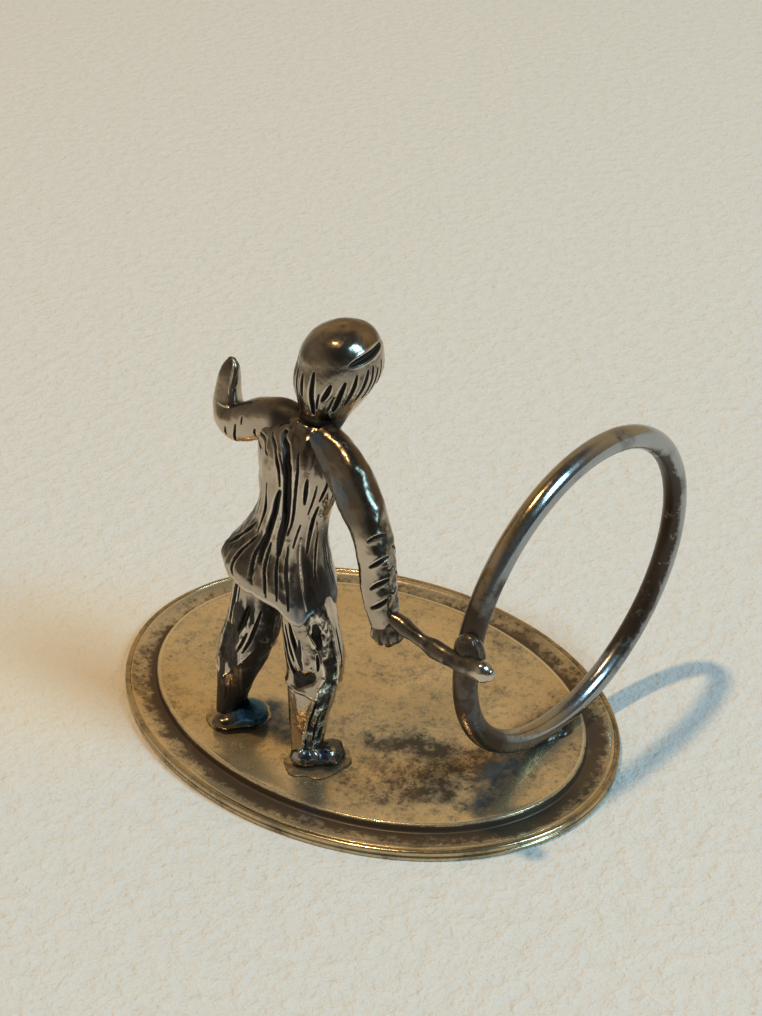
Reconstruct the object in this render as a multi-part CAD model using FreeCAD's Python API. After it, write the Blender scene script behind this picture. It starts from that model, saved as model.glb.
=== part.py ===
"""Oval-footed silver miniature: a child bowling a hoop, made to hold a card.

Frame: +Z up, +X along the long axis of the oval foot, +Y the way the child
faces and the hoop rolls.  Origin in the middle of the foot, on the table.
All sizes in mm.  Every piece is soldered to the next one; nothing moves.
"""
import FreeCAD, Part
import math
import os

os.makedirs("parts", exist_ok=True)
V = FreeCAD.Vector

# ---------------------------------------------------------------- foot
foot_length = 40.0          # long axis of the oval, over the rim wire
foot_width = 30.0           # short axis of the oval, over the rim wire
border_width = 2.55         # rim edge to the edge of the raised field
field_height = 1.15         # top of the raised field above the table
lip_height = 0.78           # top of the stamped lip behind the rim wire
channel_height = 0.50       # bottom of the sunk border channel
rim_wire_width = 0.42       # half-round rim wire, inwards from the edge
rim_wire_height = 0.84      # half-round rim wire, up from the table

# ---------------------------------------------------------------- hoop and stick
wire_diameter = 1.70        # round wire of the hoop
hoop_diameter = 24.88       # over the wire
hoop_x = 14.63              # middle of the hoop, along the foot
solder_bite = 0.12          # how far the stick is pressed into the hoop wire
hoop_yaw = -4.1             # degrees, plane turned about the vertical
hoop_tilt = -5.0            # degrees, plane leaning off the vertical
seat_flat = 0.05            # how far the hoop is filed flat where it stands
stick_crossing = 3          # the stick section below that lies against the hoop
stick_sections = [
    (8.30, -7.75, 16.45, 0.50, 0.55),       # inside the fist
    (9.60, -7.80, 16.05, 0.58, 0.62),
    (11.60, -7.90, 15.50, 0.68, 0.66),
    (13.90, -7.98, 15.25, 0.76, 0.70),      # crosses the hoop
    (15.40, -7.98, 15.28, 0.80, 0.74),
    (16.30, -7.98, 15.32, 0.72, 0.68),
    (16.75, -7.98, 15.34, 0.50, 0.47),
    (16.95, -7.98, 15.35, 0.18, 0.17),      # rounded free end
]

# ---------------------------------------------------------------- figure
# Each piece is a row of oval sections: x, y, z of the middle, then the half
# widths across and front to back.  Jacket sections end with the degrees they
# drop to the child's right; head and legs are cut level; arms follow their line.
jacket_sections = [
    (-1.60, -6.90, 14.10, 4.05, 3.05, 15.0),    # hem
    (-1.70, -6.85, 15.30, 4.20, 3.10, 14.0),    # fullest part of the skirt
    (-1.55, -6.60, 16.90, 3.50, 2.70, 12.0),
    (-1.05, -6.30, 18.90, 2.80, 2.25, 10.0),
    (-0.80, -5.95, 20.60, 2.60, 2.05, 8.0),     # waist
    (-0.85, -5.60, 22.30, 2.80, 2.05, 7.0),
    (-0.75, -5.20, 24.00, 3.15, 2.10, 6.0),     # chest
    (-0.55, -4.70, 25.50, 3.05, 1.85, 6.0),     # shoulders
    (-0.20, -4.10, 26.60, 1.60, 1.30, 4.0),     # neck hole
]
head_sections = [
    (-0.10, -3.75, 26.10, 1.50, 1.30),      # neck
    (0.00, -3.30, 26.90, 1.72, 1.62),
    (0.20, -2.80, 27.90, 2.22, 2.40),
    (0.38, -2.50, 29.00, 2.65, 2.95),
    (0.60, -2.35, 30.10, 2.80, 3.10),       # widest, at the ears
    (0.72, -2.25, 31.20, 2.62, 2.85),
    (0.80, -2.20, 32.10, 2.00, 2.20),
    (0.85, -2.20, 32.65, 1.15, 1.25),
    (0.85, -2.20, 32.82, 0.30, 0.33),       # crown
]
left_arm_sections = [
    (-0.90, -4.40, 25.20, 1.30, 1.15),      # inside the shoulder
    (-2.50, -4.55, 25.75, 1.40, 1.25),      # shoulder
    (-4.30, -4.70, 25.35, 1.40, 1.25),
    (-6.00, -4.75, 24.50, 1.38, 1.22),
    (-7.10, -4.65, 24.30, 1.28, 1.15),      # elbow
    (-7.70, -4.40, 25.05, 1.12, 1.00),
    (-7.85, -4.15, 26.10, 0.95, 0.80),
    (-7.88, -3.85, 27.30, 0.75, 0.60),
    (-7.85, -3.60, 28.35, 0.35, 0.30),      # finger tips
]
right_arm_sections = [
    (0.90, -4.90, 25.90, 1.15, 1.10),       # shoulder
    (2.55, -5.25, 25.25, 1.30, 1.20),
    (4.25, -5.80, 24.35, 1.35, 1.25),
    (5.65, -6.40, 23.05, 1.35, 1.25),       # elbow
    (6.60, -6.85, 21.50, 1.25, 1.25),
    (7.20, -7.20, 19.60, 1.20, 1.25),
    (7.60, -7.55, 17.80, 1.15, 1.15),       # cuff
]
left_leg_sections = [
    (-6.15, -8.00, 1.90, 1.10, 1.20),       # ankle
    (-6.00, -7.90, 3.20, 1.20, 1.25),
    (-5.60, -7.80, 4.80, 1.40, 1.45),
    (-5.15, -7.60, 6.40, 1.75, 1.80),       # knee, hem of the breeches
    (-4.55, -7.40, 8.40, 1.95, 2.00),
    (-4.00, -7.20, 10.40, 1.90, 1.95),
    (-3.60, -7.00, 12.40, 1.85, 1.90),
    (-3.30, -6.80, 15.20, 1.70, 1.80),      # top, inside the jacket
]
right_leg_sections = [
    (1.20, -8.25, 1.90, 1.15, 1.20),        # ankle
    (1.30, -8.15, 3.40, 1.30, 1.30),
    (1.45, -8.00, 5.40, 1.55, 1.55),
    (1.70, -7.85, 7.40, 1.80, 1.80),        # knee, hem of the breeches
    (1.85, -7.60, 9.50, 1.95, 1.95),
    (1.45, -7.35, 11.20, 1.95, 1.95),
    (1.00, -7.10, 12.80, 1.85, 1.90),
    (0.60, -6.90, 14.80, 1.60, 1.70),       # top, inside the jacket
]
shoe_length = 3.3           # heel to toe
shoe_width = 2.1
shoe_height = 1.5
shoe_turn = 50.0            # degrees from +X towards +Y: where both toes point
left_heel = (-6.60, -8.75)  # back of the left shoe on the field
right_heel = (1.10, -9.30)  # back of the right shoe on the field
fist_radius = 1.12          # closed hand round the stick
fist_x = 8.55
fist_y = -7.80
fist_z = 15.55
right_arm_sections.append(                  # wrist, always a little way inside the fist
    (fist_x - 0.40 * fist_radius, fist_y, fist_z + 0.72 * fist_radius, 0.88 * fist_radius, 0.88 * fist_radius))

# ---------------------------------------------------------------- solder
stick_fillet_lift = 0.20                    # joint sits this far above the stick's middle
stick_fillet_half = (1.25, 0.80, 1.65)
seat_fillet_half = (1.25, 2.30, 0.75)       # joint where the hoop stands on the foot
puddle_half = (2.45, 2.05)                  # solder round each shoe, half lengths
puddle_height = 0.42


def oval(middle, across, deep, along_x, along_y, count=12):
    """Closed smooth wire round an oval section lying in two unit directions."""
    points = []
    for i in range(count):
        turn = 2.0 * math.pi * i / count
        points.append(middle + along_x * (across * math.cos(turn)) + along_y * (deep * math.sin(turn)))
    curve = Part.BSplineCurve()
    curve.interpolate(Points=points, PeriodicFlag=True)
    return Part.Wire([curve.toShape()])


def level_loft(sections):
    """Solid through level sections, each may drop to +X by its own angle."""
    wires = []
    for row in sections:
        drop = math.radians(row[5]) if len(row) > 5 else 0.0
        side = V(math.cos(drop), 0.0, -math.sin(drop))
        wires.append(oval(V(*row[:3]), row[3], row[4], side, V(0.0, 1.0, 0.0)))
    return Part.makeLoft(wires, True, False)


def limb_loft(sections):
    """Solid through sections square to the line of the limb."""
    middles = [V(*row[:3]) for row in sections]
    wires = []
    for i, row in enumerate(sections):
        before = middles[max(i - 1, 0)]
        after = middles[min(i + 1, len(middles) - 1)]
        line = (after - before).normalize()
        deep = (V(0.0, 1.0, 0.0) - line * line.y).normalize()
        across = deep.cross(line)
        wires.append(oval(middles[i], row[3], row[4], across, deep))
    return Part.makeLoft(wires, True, False)


def foot_oval(inset, height):
    """Oval wire parallel to the rim, a given distance in from it."""
    long_half = foot_length / 2.0 - inset
    short_half = foot_width / 2.0 - inset
    ellipse = Part.Ellipse(V(0.0, 0.0, height), long_half, short_half)
    return Part.Wire([ellipse.toShape()])


def foot_stack(levels, straight=True):
    """Solid through rim-parallel ovals given as (inset, height)."""
    return Part.makeLoft([foot_oval(inset, height) for inset, height in levels], True, straight)


def ball(half):
    """Ellipsoid at the origin with the given half sizes."""
    grow = FreeCAD.Matrix()
    grow.scale(V(*half))
    return Part.makeSphere(1.0).transformGeometry(grow)


def pebble(middle, half):
    """Rounded blob with the given half sizes."""
    rows = []
    for i in range(8):
        level = -0.97 + 1.94 * i / 7.0
        girth = math.sqrt(1.0 - level * level)
        rows.append((middle[0], middle[1], middle[2] + half[2] * level, half[0] * girth, half[1] * girth))
    return level_loft(rows)


def biggest(shape):
    """The largest solid left after a cut."""
    return max(shape.Solids, key=lambda solid: solid.Volume)


def less(shape, others):
    """Shape with its neighbours cut away, so the two meet face to face."""
    for other in others:
        shape = shape.cut(other)
    return biggest(shape)


# ---------------------------------------------------------------- foot solids
field_inset = border_width
blank = foot_stack([(rim_wire_width, 0.0), (rim_wire_width, lip_height)])
channel = foot_stack([
    (field_inset - 0.35, channel_height),
    (field_inset - 0.95, channel_height + 0.04),
    (rim_wire_width + 0.45, channel_height + 0.16),
    (rim_wire_width + 0.10, lip_height + 0.001),
])
field = foot_stack([
    (field_inset - 0.22, 0.20),
    (field_inset - 0.18, channel_height + 0.15),
    (field_inset + 0.02, field_height - 0.10),
    (field_inset + 0.10, field_height - 0.03),
    (field_inset + 0.24, field_height),
])
base_plate = biggest(blank.cut(channel).fuse(field).removeSplitter())

rim_outside = foot_stack([
    (0.12, 0.0),
    (0.03, 0.16),
    (0.00, 0.42),
    (0.04, 0.64),
    (0.16, 0.78),
    (rim_wire_width - 0.06, rim_wire_height),
], straight=False)
rim_inside = foot_stack([(rim_wire_width, -0.10), (rim_wire_width, 1.20)])
rim_wire = biggest(rim_outside.cut(rim_inside))

# ---------------------------------------------------------------- hoop and stick
ring_radius = hoop_diameter / 2.0 - wire_diameter / 2.0
yaw = math.radians(hoop_yaw)
tilt = math.radians(hoop_tilt)
hoop_normal = V(math.cos(yaw) * math.cos(tilt), math.sin(yaw) * math.cos(tilt), math.sin(tilt))
lowest = (V(0.0, 0.0, -1.0) + hoop_normal * hoop_normal.z).normalize() * ring_radius
hoop_z = field_height - seat_flat + wire_diameter / 2.0 - lowest.z
cross_y, cross_z, cross_half = stick_sections[stick_crossing][1:4]
limb_y = cross_y + wire_diameter / 2.0 + cross_half - solder_bite
hoop_y = limb_y + math.sqrt(ring_radius ** 2 - (cross_z - hoop_z) ** 2)
hoop_middle = V(hoop_x, hoop_y, hoop_z)
hoop = Part.makeTorus(ring_radius, wire_diameter / 2.0, hoop_middle, hoop_normal)
hoop = less(hoop, [field])
hoop_foot = hoop_middle + lowest

stick = less(limb_loft(stick_sections), [hoop])

# ---------------------------------------------------------------- figure solids
head = level_loft(head_sections)
jacket = less(level_loft(jacket_sections), [head])
left_arm = less(limb_loft(left_arm_sections), [jacket, head])
right_arm = less(limb_loft(right_arm_sections), [jacket, head, stick])
left_leg = less(level_loft(left_leg_sections), [jacket])
right_leg = less(level_loft(right_leg_sections), [jacket, left_leg])
right_hand = less(
    pebble((fist_x, fist_y, fist_z), (fist_radius, fist_radius, fist_radius * 1.10)),
    [right_arm, stick])


def shoe_last(heel):
    """Low rounded shoe on the field, before it is trimmed."""
    turn = math.radians(shoe_turn)
    toe = V(math.cos(turn), math.sin(turn), 0.0)
    side = V(-toe.y, toe.x, 0.0)
    up = V(0.0, 0.0, 1.0)
    wires = []
    for part, wide, tall in ((0.00, 0.55, 0.80), (0.15, 0.90, 1.00), (0.45, 1.00, 0.95),
                             (0.75, 0.95, 0.70), (0.95, 0.65, 0.50)):
        middle = V(heel[0], heel[1], field_height + shoe_height * tall * 0.42) + toe * (shoe_length * part)
        wires.append(oval(middle, shoe_width / 2.0 * wide, shoe_height / 2.0 * tall, side, up))
    return Part.makeLoft(wires, True, False)


left_last = shoe_last(left_heel)
right_last = shoe_last(right_heel)
left_shoe = less(left_last, [left_leg, field])
right_shoe = less(right_last, [right_leg, field])


def puddle(heel, others):
    """Low solder puddle round a shoe, spread on the field."""
    turn = math.radians(shoe_turn)
    x = heel[0] + math.cos(turn) * shoe_length * 0.45
    y = heel[1] + math.sin(turn) * shoe_length * 0.45
    drop = ball((puddle_half[0], puddle_half[1], puddle_height))
    drop.rotate(V(0.0, 0.0, 0.0), V(0.0, 0.0, 1.0), shoe_turn)
    drop.translate(V(x, y, field_height))
    return less(drop, [field] + others)


solder_left_foot = puddle(left_heel, [left_shoe, left_leg])
solder_right_foot = puddle(right_heel, [right_shoe, right_leg])
seat_drop = ball(seat_fillet_half)
seat_drop.translate(V(hoop_foot.x, hoop_foot.y, field_height))
solder_hoop_seat = less(seat_drop, [field, hoop])
fillet_middle = (stick_sections[stick_crossing][0], (cross_y + limb_y) / 2.0, cross_z + stick_fillet_lift)
solder_stick = less(pebble(fillet_middle, stick_fillet_half), [hoop, stick])

pieces = {
    "base_plate": base_plate,
    "rim_wire": rim_wire,
    "jacket": jacket,
    "head": head,
    "left_arm": left_arm,
    "right_arm": right_arm,
    "right_hand": right_hand,
    "left_leg": left_leg,
    "right_leg": right_leg,
    "left_shoe": left_shoe,
    "right_shoe": right_shoe,
    "stick": stick,
    "hoop": hoop,
    "solder_stick": solder_stick,
    "solder_hoop_seat": solder_hoop_seat,
    "solder_left_foot": solder_left_foot,
    "solder_right_foot": solder_right_foot,
}
for name, shape in pieces.items():
    shape.exportStep("parts/" + name + ".step")
    box = shape.BoundBox
    print(name, "valid", shape.isValid(), "solids", len(shape.Solids), "volume", round(shape.Volume, 2),
          "x", round(box.XMin, 2), round(box.XMax, 2), "y", round(box.YMin, 2), round(box.YMax, 2),
          "z", round(box.ZMin, 2), round(box.ZMax, 2))
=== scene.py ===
import bpy
import math
import numpy as np
from mathutils import Matrix, Vector


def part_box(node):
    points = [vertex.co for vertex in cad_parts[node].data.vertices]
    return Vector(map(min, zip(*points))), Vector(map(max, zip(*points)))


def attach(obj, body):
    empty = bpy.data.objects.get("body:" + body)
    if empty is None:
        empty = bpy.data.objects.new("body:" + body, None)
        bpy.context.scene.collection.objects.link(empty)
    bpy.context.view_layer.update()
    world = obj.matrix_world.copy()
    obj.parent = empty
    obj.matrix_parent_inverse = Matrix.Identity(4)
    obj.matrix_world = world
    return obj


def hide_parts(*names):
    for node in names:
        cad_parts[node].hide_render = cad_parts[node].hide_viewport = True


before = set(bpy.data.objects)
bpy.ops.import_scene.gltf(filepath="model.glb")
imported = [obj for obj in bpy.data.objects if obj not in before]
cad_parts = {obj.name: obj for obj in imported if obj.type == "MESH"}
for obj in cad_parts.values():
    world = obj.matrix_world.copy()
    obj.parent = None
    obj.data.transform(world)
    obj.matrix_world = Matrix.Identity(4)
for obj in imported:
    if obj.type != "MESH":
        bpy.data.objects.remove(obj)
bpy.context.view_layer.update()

# ------------------------------------------------------------------ the foot, stamped oval plate
# One sheet of silver stamped into an oval foot: a sunk border channel, a rounded
# step and a raised flat field.  Worked by hand, so the field waves a little; old
# tarnish sits in the channel against the step and wears off on the edges.
MM = 0.001
foot_long, foot_short = [0.5 * (b - a) / MM for a, b in zip(*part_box("rim_wire"))][:2]
field_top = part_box("base_plate")[1].z / MM


def lumps(points, size, seed):
    """Smooth random swell from -1 to 1 at 3-D points, the same every run."""
    p = np.asarray(points, float) / size
    cell = np.floor(p).astype(np.int64)
    part = p - cell
    part = part * part * (3.0 - 2.0 * part)
    total = np.zeros(p.shape[:-1])
    for corner in range(8):
        step = np.array([corner & 1, corner >> 1 & 1, corner >> 2 & 1])
        c = cell + step
        n = (c[..., 0] * 73856093) ^ (c[..., 1] * 19349663) ^ (c[..., 2] * 83492791) ^ (seed * 2654435761)
        n = (n ^ (n >> 13)) * 1274126177 & 0x7FFFFFFF
        n = (n ^ (n >> 15)) * 668265263 & 0x7FFFFFFF
        share = np.where(step == 1, part, 1.0 - part).prod(axis=-1)
        total += share * ((n & 0xFFFF) / 32767.5 - 1.0)
    return total


def layered(points, size, seed, layers=3):
    """Several swells laid over each other, each half the size and height."""
    return sum(lumps(points, size * 0.5 ** k, seed + k) * 0.5 ** k for k in range(layers))


def ramp(x, low, high):
    """0 below low, 1 above high, eased between."""
    t = np.clip((np.asarray(x, float) - low) / (high - low), 0.0, 1.0)
    return t * t * (3.0 - 2.0 * t)


def blurred(field, reach):
    """Field on a round grid (rows, around) softened over a few cells."""
    out = field
    for _ in range(reach):
        up = np.vstack([out[:1], out[:-1]])
        down = np.vstack([out[1:], out[-1:]])
        out = (out * 2.0 + up + down + np.roll(out, 1, 1) + np.roll(out, -1, 1)) / 6.0
    return out


def round_skin(name, rings, marks=None):
    """Closed mesh through rings of points in mm; first and last ring shrink to a pole."""
    rows, around = rings.shape[:2]
    points = np.vstack([rings[:1].mean(axis=1), rings.reshape(-1, 3), rings[-1:].mean(axis=1)]) * MM
    i, j = np.meshgrid(np.arange(rows - 1), np.arange(around), indexing="ij")
    a = 1 + i * around + j
    b = 1 + i * around + (j + 1) % around
    quads = np.stack([a, b, b + around, a + around], axis=-1).reshape(-1, 4)
    j = np.arange(around)
    first = np.stack([np.zeros_like(j), 1 + (j + 1) % around, 1 + j], axis=-1)
    last_row = 1 + (rows - 1) * around
    last = np.stack([np.full_like(j, len(points) - 1), last_row + j, last_row + (j + 1) % around], axis=-1)
    faces = [tuple(f) for f in quads.tolist() + first.tolist() + last.tolist()]
    mesh = bpy.data.meshes.new(name)
    mesh.from_pydata(points.tolist(), [], faces)
    for mark, values in (marks or {}).items():
        layer = mesh.attributes.new(mark, "FLOAT", "POINT")
        flat = np.concatenate([values[:1].mean(axis=1), values.reshape(-1), values[-1:].mean(axis=1)])
        layer.data.foreach_set("value", flat.astype(np.float32))
    mesh.polygons.foreach_set("use_smooth", np.ones(len(mesh.polygons), bool))
    mesh.update()
    piece = bpy.data.objects.new(name, mesh)
    bpy.context.scene.collection.objects.link(piece)
    return piece


class Tap:
    """One output of a node tree; sums of taps become maths nodes."""

    def __init__(self, tree, socket):
        self.tree = tree
        self.socket = socket

    @classmethod
    def node(cls, tree, kind, settings=None, values=None, out=0):
        made = tree.nodes.new(kind)
        for key, value in (settings or {}).items():
            setattr(made, key, value)
        for key, value in (values or {}).items():
            if isinstance(value, Tap):
                tree.links.new(value.socket, made.inputs[key])
            else:
                made.inputs[key].default_value = value
        return cls(tree, made.outputs[out])

    def sum(self, work, *others):
        taps = [self, *others]
        wide = any(isinstance(t, Tap) and t.socket.type in ("VECTOR", "RGBA") for t in taps)
        kind = "ShaderNodeVectorMath" if wide else "ShaderNodeMath"
        made = self.tree.nodes.new(kind)
        made.operation = work
        for place, tap in enumerate(taps):
            if isinstance(tap, Tap):
                self.tree.links.new(tap.socket, made.inputs[place])
            elif wide and not isinstance(tap, (tuple, list)):
                made.inputs[place].default_value = (tap, tap, tap)
            else:
                made.inputs[place].default_value = tap
        return Tap(self.tree, made.outputs[1 if work in ("LENGTH", "DOT_PRODUCT") else 0])

    def __add__(self, other):
        return self.sum("ADD", other)

    def __radd__(self, other):
        return self.sum("ADD", other)

    def __sub__(self, other):
        return self.sum("SUBTRACT", other)

    def __rsub__(self, other):
        return (self * -1.0).sum("ADD", other)

    def __mul__(self, other):
        return self.sum("MULTIPLY", other)

    def __rmul__(self, other):
        return self.sum("MULTIPLY", other)

    def ease(self, low, high, to_low=0.0, to_high=1.0):
        return Tap.node(self.tree, "ShaderNodeMapRange", {"interpolation_type": "SMOOTHSTEP"}, {
            "Value": self, "From Min": low, "From Max": high, "To Min": to_low, "To Max": to_high})

    def mix(self, one, other):
        values = {0: self}
        for place, colour in ((6, one), (7, other)):
            values[place] = colour if isinstance(colour, Tap) else (*colour, 1.0)
        return Tap.node(self.tree, "ShaderNodeMix", {"data_type": "RGBA"}, values, 2)


class Finish:
    """A silver finish: its tree, its surface reads and its shader."""

    def __init__(self, name):
        self.material = bpy.data.materials.new(name)
        self.material.use_nodes = True
        self.tree = self.material.node_tree
        self.tree.nodes.clear()
        self.place = Tap.node(self.tree, "ShaderNodeTexCoord", out=3)

    def swirl(self, size_mm, detail=3.0, rough=0.55, stretch=(1.0, 1.0, 1.0), turn=0.0, warp=0.0):
        """Noise from 0 to 1 whose blotches are about size_mm across."""
        spot = Tap.node(self.tree, "ShaderNodeMapping", None, {
            "Vector": self.place, "Rotation": (0.0, 0.0, math.radians(turn)), "Scale": stretch})
        return Tap.node(self.tree, "ShaderNodeTexNoise", None, {
            "Vector": spot, "Scale": 1.0 / (size_mm * MM), "Detail": detail, "Roughness": rough,
            "Distortion": warp})

    def mark(self, name):
        return Tap.node(self.tree, "ShaderNodeAttribute", {"attribute_name": name}, out=2)

    def finish(self, colour, rough, metal, height=None, strength=0.3, depth_mm=0.02):
        values = {"Base Color": colour, "Roughness": rough, "Metallic": metal}
        if height is not None:
            values["Normal"] = Tap.node(self.tree, "ShaderNodeBump", None, {
                "Height": height, "Strength": strength, "Distance": depth_mm * MM})
        shader = Tap.node(self.tree, "ShaderNodeBsdfPrincipled", None, values)
        end = self.tree.nodes.new("ShaderNodeOutputMaterial")
        self.tree.links.new(shader.socket, end.inputs["Surface"])
        return self.material


def oval_ring(inset, share, height, around=560):
    """Points round the foot at a distance in from the rim, scaled towards the middle."""
    turn = np.linspace(0.0, 2.0 * math.pi, around, endpoint=False)
    x = (foot_long - inset) * share * np.cos(turn)
    y = (foot_short - inset) * share * np.sin(turn)
    return np.stack([x, y, np.full(around, height)], axis=-1)


def profile_rings(profile, each):
    """Rings eased through (inset, height) stops with several between each pair."""
    rings = []
    stops = np.array([profile[0], *profile, profile[-1]], float)
    for k in range(1, len(stops) - 2):
        for i in range(each):
            t = i / each
            w = np.array([-t + 2 * t * t - t ** 3, 2 - 5 * t * t + 3 * t ** 3,
                          t + 4 * t * t - 3 * t ** 3, -t * t + t ** 3]) * 0.5
            inset, height = w @ stops[k - 1:k + 3]
            rings.append(oval_ring(inset, 1.0, height))
    rings.append(oval_ring(profile[-1][0], 1.0, profile[-1][1]))
    return rings


channel_low = 0.50
underside = [oval_ring(0.50, share, 0.0) for share in np.linspace(0.02, 1.0, 14)]
border = profile_rings([
    (0.50, 0.00), (0.40, 0.04), (0.38, 0.40), (0.40, 0.72), (0.50, 0.79),
    (0.66, 0.76), (0.90, 0.67), (1.30, 0.59), (1.80, channel_low + 0.03), (2.15, channel_low),
    (2.30, channel_low + 0.01), (2.37, 0.62), (2.43, 0.88), (2.52, field_top - 0.05),
    (2.68, field_top), (2.86, field_top - 0.02), (3.05, field_top - 0.03)], 5)
field_rings = [oval_ring(3.05, share, field_top - 0.03) for share in np.linspace(0.985, 0.01, 78)]
plate = np.array(underside + border + field_rings)
swell = layered(plate * [1, 1, 0], 6.0, 11) * 0.022 + layered(plate * [1, 1, 0], 1.1, 17) * 0.006
upper = np.zeros(len(plate))
upper[len(underside) + 10:] = 1.0
plate[..., 2] += swell * upper[:, None] - 0.022 * upper[:, None] * (plate[..., 2] > field_top - 0.04)
inset_now = np.array([foot_short - abs(row[plate.shape[1] // 4][1]) for row in plate])[:, None]
border_side = ramp(plate[..., 0] / foot_long - 0.35 * plate[..., 1] / foot_short, -0.95, 0.55)
step_dirt = np.exp(-((inset_now - 2.25) / (0.34 + 0.26 * border_side)) ** 2) * (plate[..., 2] < 0.98)
# Old stains and painted shadow: x and y of the middle, half length, half width,
# lean in degrees, depth of colour.  The patch at (11.2, -2.4) is the painted
# shadow of the hoop and the stick.
stains_and_painted_shadow = [
    (7.0, -2.6, 4.6, 1.25, 27.0, 1.0), (11.2, -2.4, 3.9, 2.4, 40.0, 0.95),
    (12.2, 5.4, 1.6, 3.2, 0.0, 0.7), (-4.0, -6.4, 3.4, 1.4, 20.0, 0.55),
    (16.2, 4.0, 1.6, 4.2, 0.0, 0.65), (9.8, -5.6, 5.2, 2.8, 25.0, 0.85),
    (13.0, 11.0, 3.0, 1.6, -48.0, 0.85), (3.0, 6.2, 4.0, 1.8, 0.0, 0.22),
    (-13.2, -1.0, 1.6, 3.6, 15.0, 0.28), (2.0, -13.4, 6.5, 1.1, 4.0, 0.40),
    (3.0, 14.6, 7.0, 1.0, -4.0, 0.95), (11.5, 11.6, 4.5, 1.0, -40.0, 0.80),
    (3.5, 11.2, 3.5, 1.6, -10.0, 0.35), (-0.5, 3.0, 2.6, 1.2, 25.0, 0.25),
    (6.6, 6.0, 3.4, 1.4, 20.0, 0.25), (-14.6, -8.6, 4.4, 1.2, -30.0, 0.50),
    (11.2, -11.4, 4.0, 1.1, 28.0, 0.60)]
dark_patches = np.zeros(plate.shape[:2])
for x, y, long_way, short_way, lean, deep in stains_and_painted_shadow:
    c, s = math.cos(math.radians(lean)), math.sin(math.radians(lean))
    p = (plate[..., 0] - x) * c + (plate[..., 1] - y) * s
    q = (plate[..., 1] - y) * c - (plate[..., 0] - x) * s
    dark_patches = np.maximum(dark_patches, deep * np.exp(-(p / long_way) ** 2 - (q / short_way) ** 2))
# The border is darkened, more towards the right and the front and near the hoop.
border_darkening = 0.40 + 0.60 * border_side + 0.35 * ramp(plate[..., 0], 11.0, 18.0)
dark_patches = np.maximum(dark_patches, ramp(inset_now, 0.55, 1.3) * (plate[..., 2] < 0.98) * border_darkening)
edge_wear = np.exp(-((inset_now - 2.66) / 0.11) ** 2) * (plate[..., 2] > 0.9)
edge_wear = edge_wear + np.exp(-((inset_now - 0.50) / 0.07) ** 2) * (plate[..., 2] > 0.6) * 0.5
heat_and_painted_light = np.zeros(plate.shape[:2])
# Blue streaks: reach, depth of colour, then the points that each runs through.  The
# first is a blue patch beside the left shoe, the second a painted blue reflection in
# front of the right shoe, the third the painted shadow of the hoop's near limb.
blue_streaks = [(1.5, 0.9, (-4.6, -5.9), (-3.2, -6.7), (-1.2, -7.3)), (1.1, 0.6, (3.2, -10.2), (4.4, -11.8)),
          (1.6, 0.95, (13.1, 3.4), (12.9, 0.9), (12.9, -1.2), (13.6, -3.6), (14.3, -5.5))]
for reach, deep, *stops in blue_streaks:
    stops = np.array(stops)
    for t in np.linspace(0.0, len(stops) - 1.0, 24):
        x, y = (np.interp(t, range(len(stops)), stops[:, axis]) for axis in (0, 1))
        away = np.hypot(plate[..., 0] - x, plate[..., 1] - y) / (reach * (1.0 - 0.12 * t))
        heat_and_painted_light = np.maximum(heat_and_painted_light, deep * np.exp(-away ** 3))
base_plate = round_skin("base_plate_worked", plate, {
    "recess_and_painted_shade": step_dirt * upper[:, None], "dark_patches": dark_patches * upper[:, None], "worn": edge_wear * upper[:, None],
    "blue_tint_and_painted_light": heat_and_painted_light * upper[:, None]})

old_plate = Finish("tarnished plate silver")
fine = old_plate.swirl(0.20, 6.0, 0.78)
grit = old_plate.swirl(0.45, 5.0, 0.72)
blotch = old_plate.swirl(3.6, 5.0, 0.66, warp=0.5)
patch = old_plate.swirl(8.0, 3.0, 0.6, stretch=(1.0, 1.5, 1.0))
soft = old_plate.swirl(1.3, 6.0, 0.68)
# Stains on the field, with the painted shadow of the hoop and the stick among them.
stained_and_shadowed = old_plate.mark("dark_patches") * (
    0.32 + blotch.ease(0.25, 0.75) * 0.36 + soft.ease(0.30, 0.70) * 0.36 + grit.ease(0.35, 0.65) * 0.20)
dirt_and_painted_shade = (old_plate.mark("recess_and_painted_shade") * (0.40 + blotch.ease(0.32, 0.62) * 0.50)
        + blotch.ease(0.40, 0.78) * 0.34 + soft.ease(0.40, 0.70) * 0.28
        + grit.ease(0.46, 0.66) * 0.34 + fine.ease(0.50, 0.62) * 0.30 + stained_and_shadowed)
dirt_and_painted_shade = dirt_and_painted_shade.ease(0.0, 1.25)
tan = patch.ease(0.35, 0.7).mix((0.70, 0.55, 0.325), (0.84, 0.665, 0.405))
wiped = old_plate.swirl(0.22, 5.0, 0.75, stretch=(1.0, 0.12, 1.0), turn=-34.0)
tan = (wiped.ease(0.56, 0.70) * 0.7).mix(tan, (0.88, 0.74, 0.50))
coloured = dirt_and_painted_shade.mix(tan, (0.085, 0.058, 0.036))
bright_edge = old_plate.mark("worn").ease(0.1, 0.9)
coloured = (bright_edge * 0.55).mix(coloured, (0.80, 0.68, 0.46))
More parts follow.
